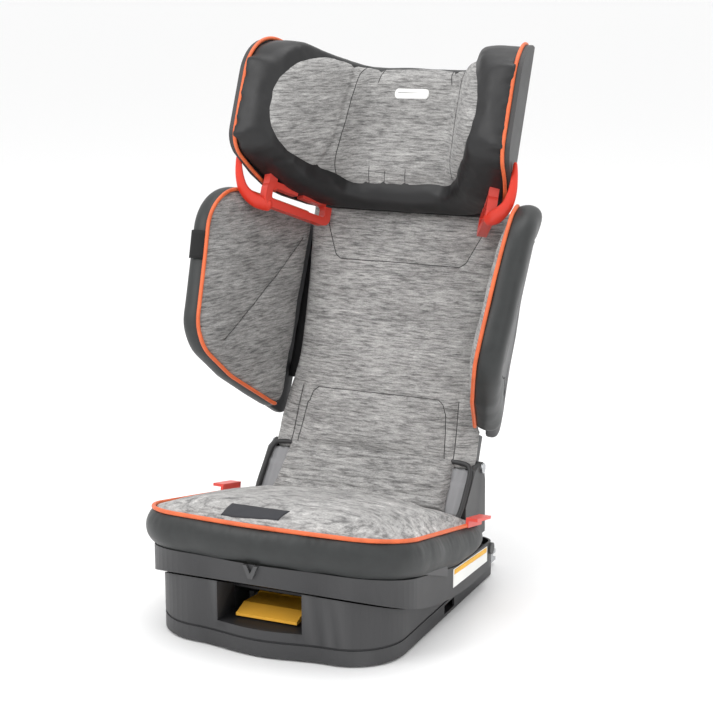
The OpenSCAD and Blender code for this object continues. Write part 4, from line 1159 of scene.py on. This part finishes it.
# ---------------------------------------------------------------- materials of the CAD nodes
finish = {
    "base_tray": base_plastic, "base_cover": base_plastic, "base_feet": rubber, "base_screws": steel,
    "handle_pin": steel, "handle_spring": steel, "recline_handle": yellow_plastic,
    "recline_pawl": steel, "latch_arms": steel, "latch_crossbar": frame_plastic,
    "latch_button_left": red_plastic, "latch_button_right": red_plastic, "seat_shell": shell_plastic,
    "slide_blocks": pale_plastic, "recline_rack": steel, "seat_foam": foam_white,
    "cover_hook": shell_plastic, "side_tabs": shell_plastic, "side_label": label_film,
    "lap_guides": red_plastic, "lower_frame": frame_plastic, "lower_panel": panel_plastic,
    "fold_pins": steel, "pivot_caps": frame_plastic, "back_panel": frame_plastic,
    "back_cover": frame_plastic, "back_screws": steel, "rod_sleeves": pale_plastic,
    "height_rack": frame_plastic, "wing_bar_left": steel, "wing_bar_right": steel,
    "width_knob": pale_plastic, "knob_grip": frame_plastic, "head_shell": frame_plastic,
    "head_carrier": frame_plastic, "guide_rods": steel, "belt_guide_left": red_plastic,
    "belt_guide_right": red_plastic, "height_handle": frame_plastic,
}
BEVEL = {"base_tray": 2.5, "base_cover": 4.0, "seat_shell": 3.0, "recline_handle": 1.5, "side_tabs": 1.0,
         "lower_frame": 2.0, "lower_panel": 0.8, "back_cover": 3.0, "back_panel": 1.2, "head_shell": 1.5,
         "head_carrier": 1.5, "belt_guide_left": 2.2, "belt_guide_right": 2.2, "height_handle": 1.5,
         "cover_hook": 0.8, "lap_guides": 1.0, "knob_grip": 1.5, "pivot_caps": 1.2, "latch_arms": 1.0,
         "latch_crossbar": 1.5, "latch_button_left": 0.6, "latch_button_right": 0.6, "base_feet": 0.5}
for name, material in finish.items():
    ob = NODES[name]
    painted(ob, material)
    if name in BEVEL:
        eased(ob, BEVEL[name])
    ob.data.polygons.foreach_set("use_smooth", [True] * len(ob.data.polygons))

# ---------------------------------------------------------------- stage, light and camera
bpy.ops.mesh.primitive_plane_add(size=400, location=(0, 0, -0.0005))
floor = bpy.context.object
floor.name = "floor"
floor_material, tree, principled = nodes_of("floor_white")
principled.inputs["Base Color"].default_value = (0.96, 0.96, 0.96, 1)
principled.inputs["Roughness"].default_value = 0.7
floor.data.materials.append(floor_material)

world = bpy.data.worlds.new("studio")
bpy.context.scene.world = world
world.use_nodes = True
world.node_tree.nodes["Background"].inputs["Color"].default_value = (1, 1, 1, 1)
world.node_tree.nodes["Background"].inputs["Strength"].default_value = 1.0


def area_light(name, place, target, size, power):
    data = bpy.data.lights.new(name, "AREA")
    data.shape = "RECTANGLE"
    data.size, data.size_y = size
    data.energy = power
    ob = bpy.data.objects.new(name, data)
    ob.location = place
    ob.rotation_euler = (Vector(target) - Vector(place)).to_track_quat("-Z", "Y").to_euler()
    bpy.context.scene.collection.objects.link(ob)


area_light("key", (-1.6, -2.2, 2.6), (0, 0, 0.35), (1.6, 1.6), 34)
area_light("fill", (2.6, -1.4, 1.3), (0, 0, 0.35), (1.8, 1.8), 8)
area_light("top", (0.1, 0.4, 3.0), (0, 0, 0.2), (2.0, 2.0), 34)

# one camera fitted to the photo by a scratch program
AZIMUTH, ELEVATION, DISTANCE = math.radians(24.153), math.radians(13.116), 2.2302
TARGET = Vector((0.04506, 0.0, 0.34043))
back_way = Vector((math.sin(AZIMUTH) * math.cos(ELEVATION), -math.cos(AZIMUTH) * math.cos(ELEVATION),
                   math.sin(ELEVATION)))
camera_data = bpy.data.cameras.new("camera")
camera_data.sensor_width = 36
camera_data.lens = 88.51
camera = bpy.data.objects.new("camera", camera_data)
camera.location = TARGET + back_way * DISTANCE
camera.rotation_euler = (-back_way).to_track_quat("-Z", "Y").to_euler()
bpy.context.scene.collection.objects.link(camera)
bpy.context.scene.camera = camera
bpy.context.scene.view_settings.view_transform = "Standard"
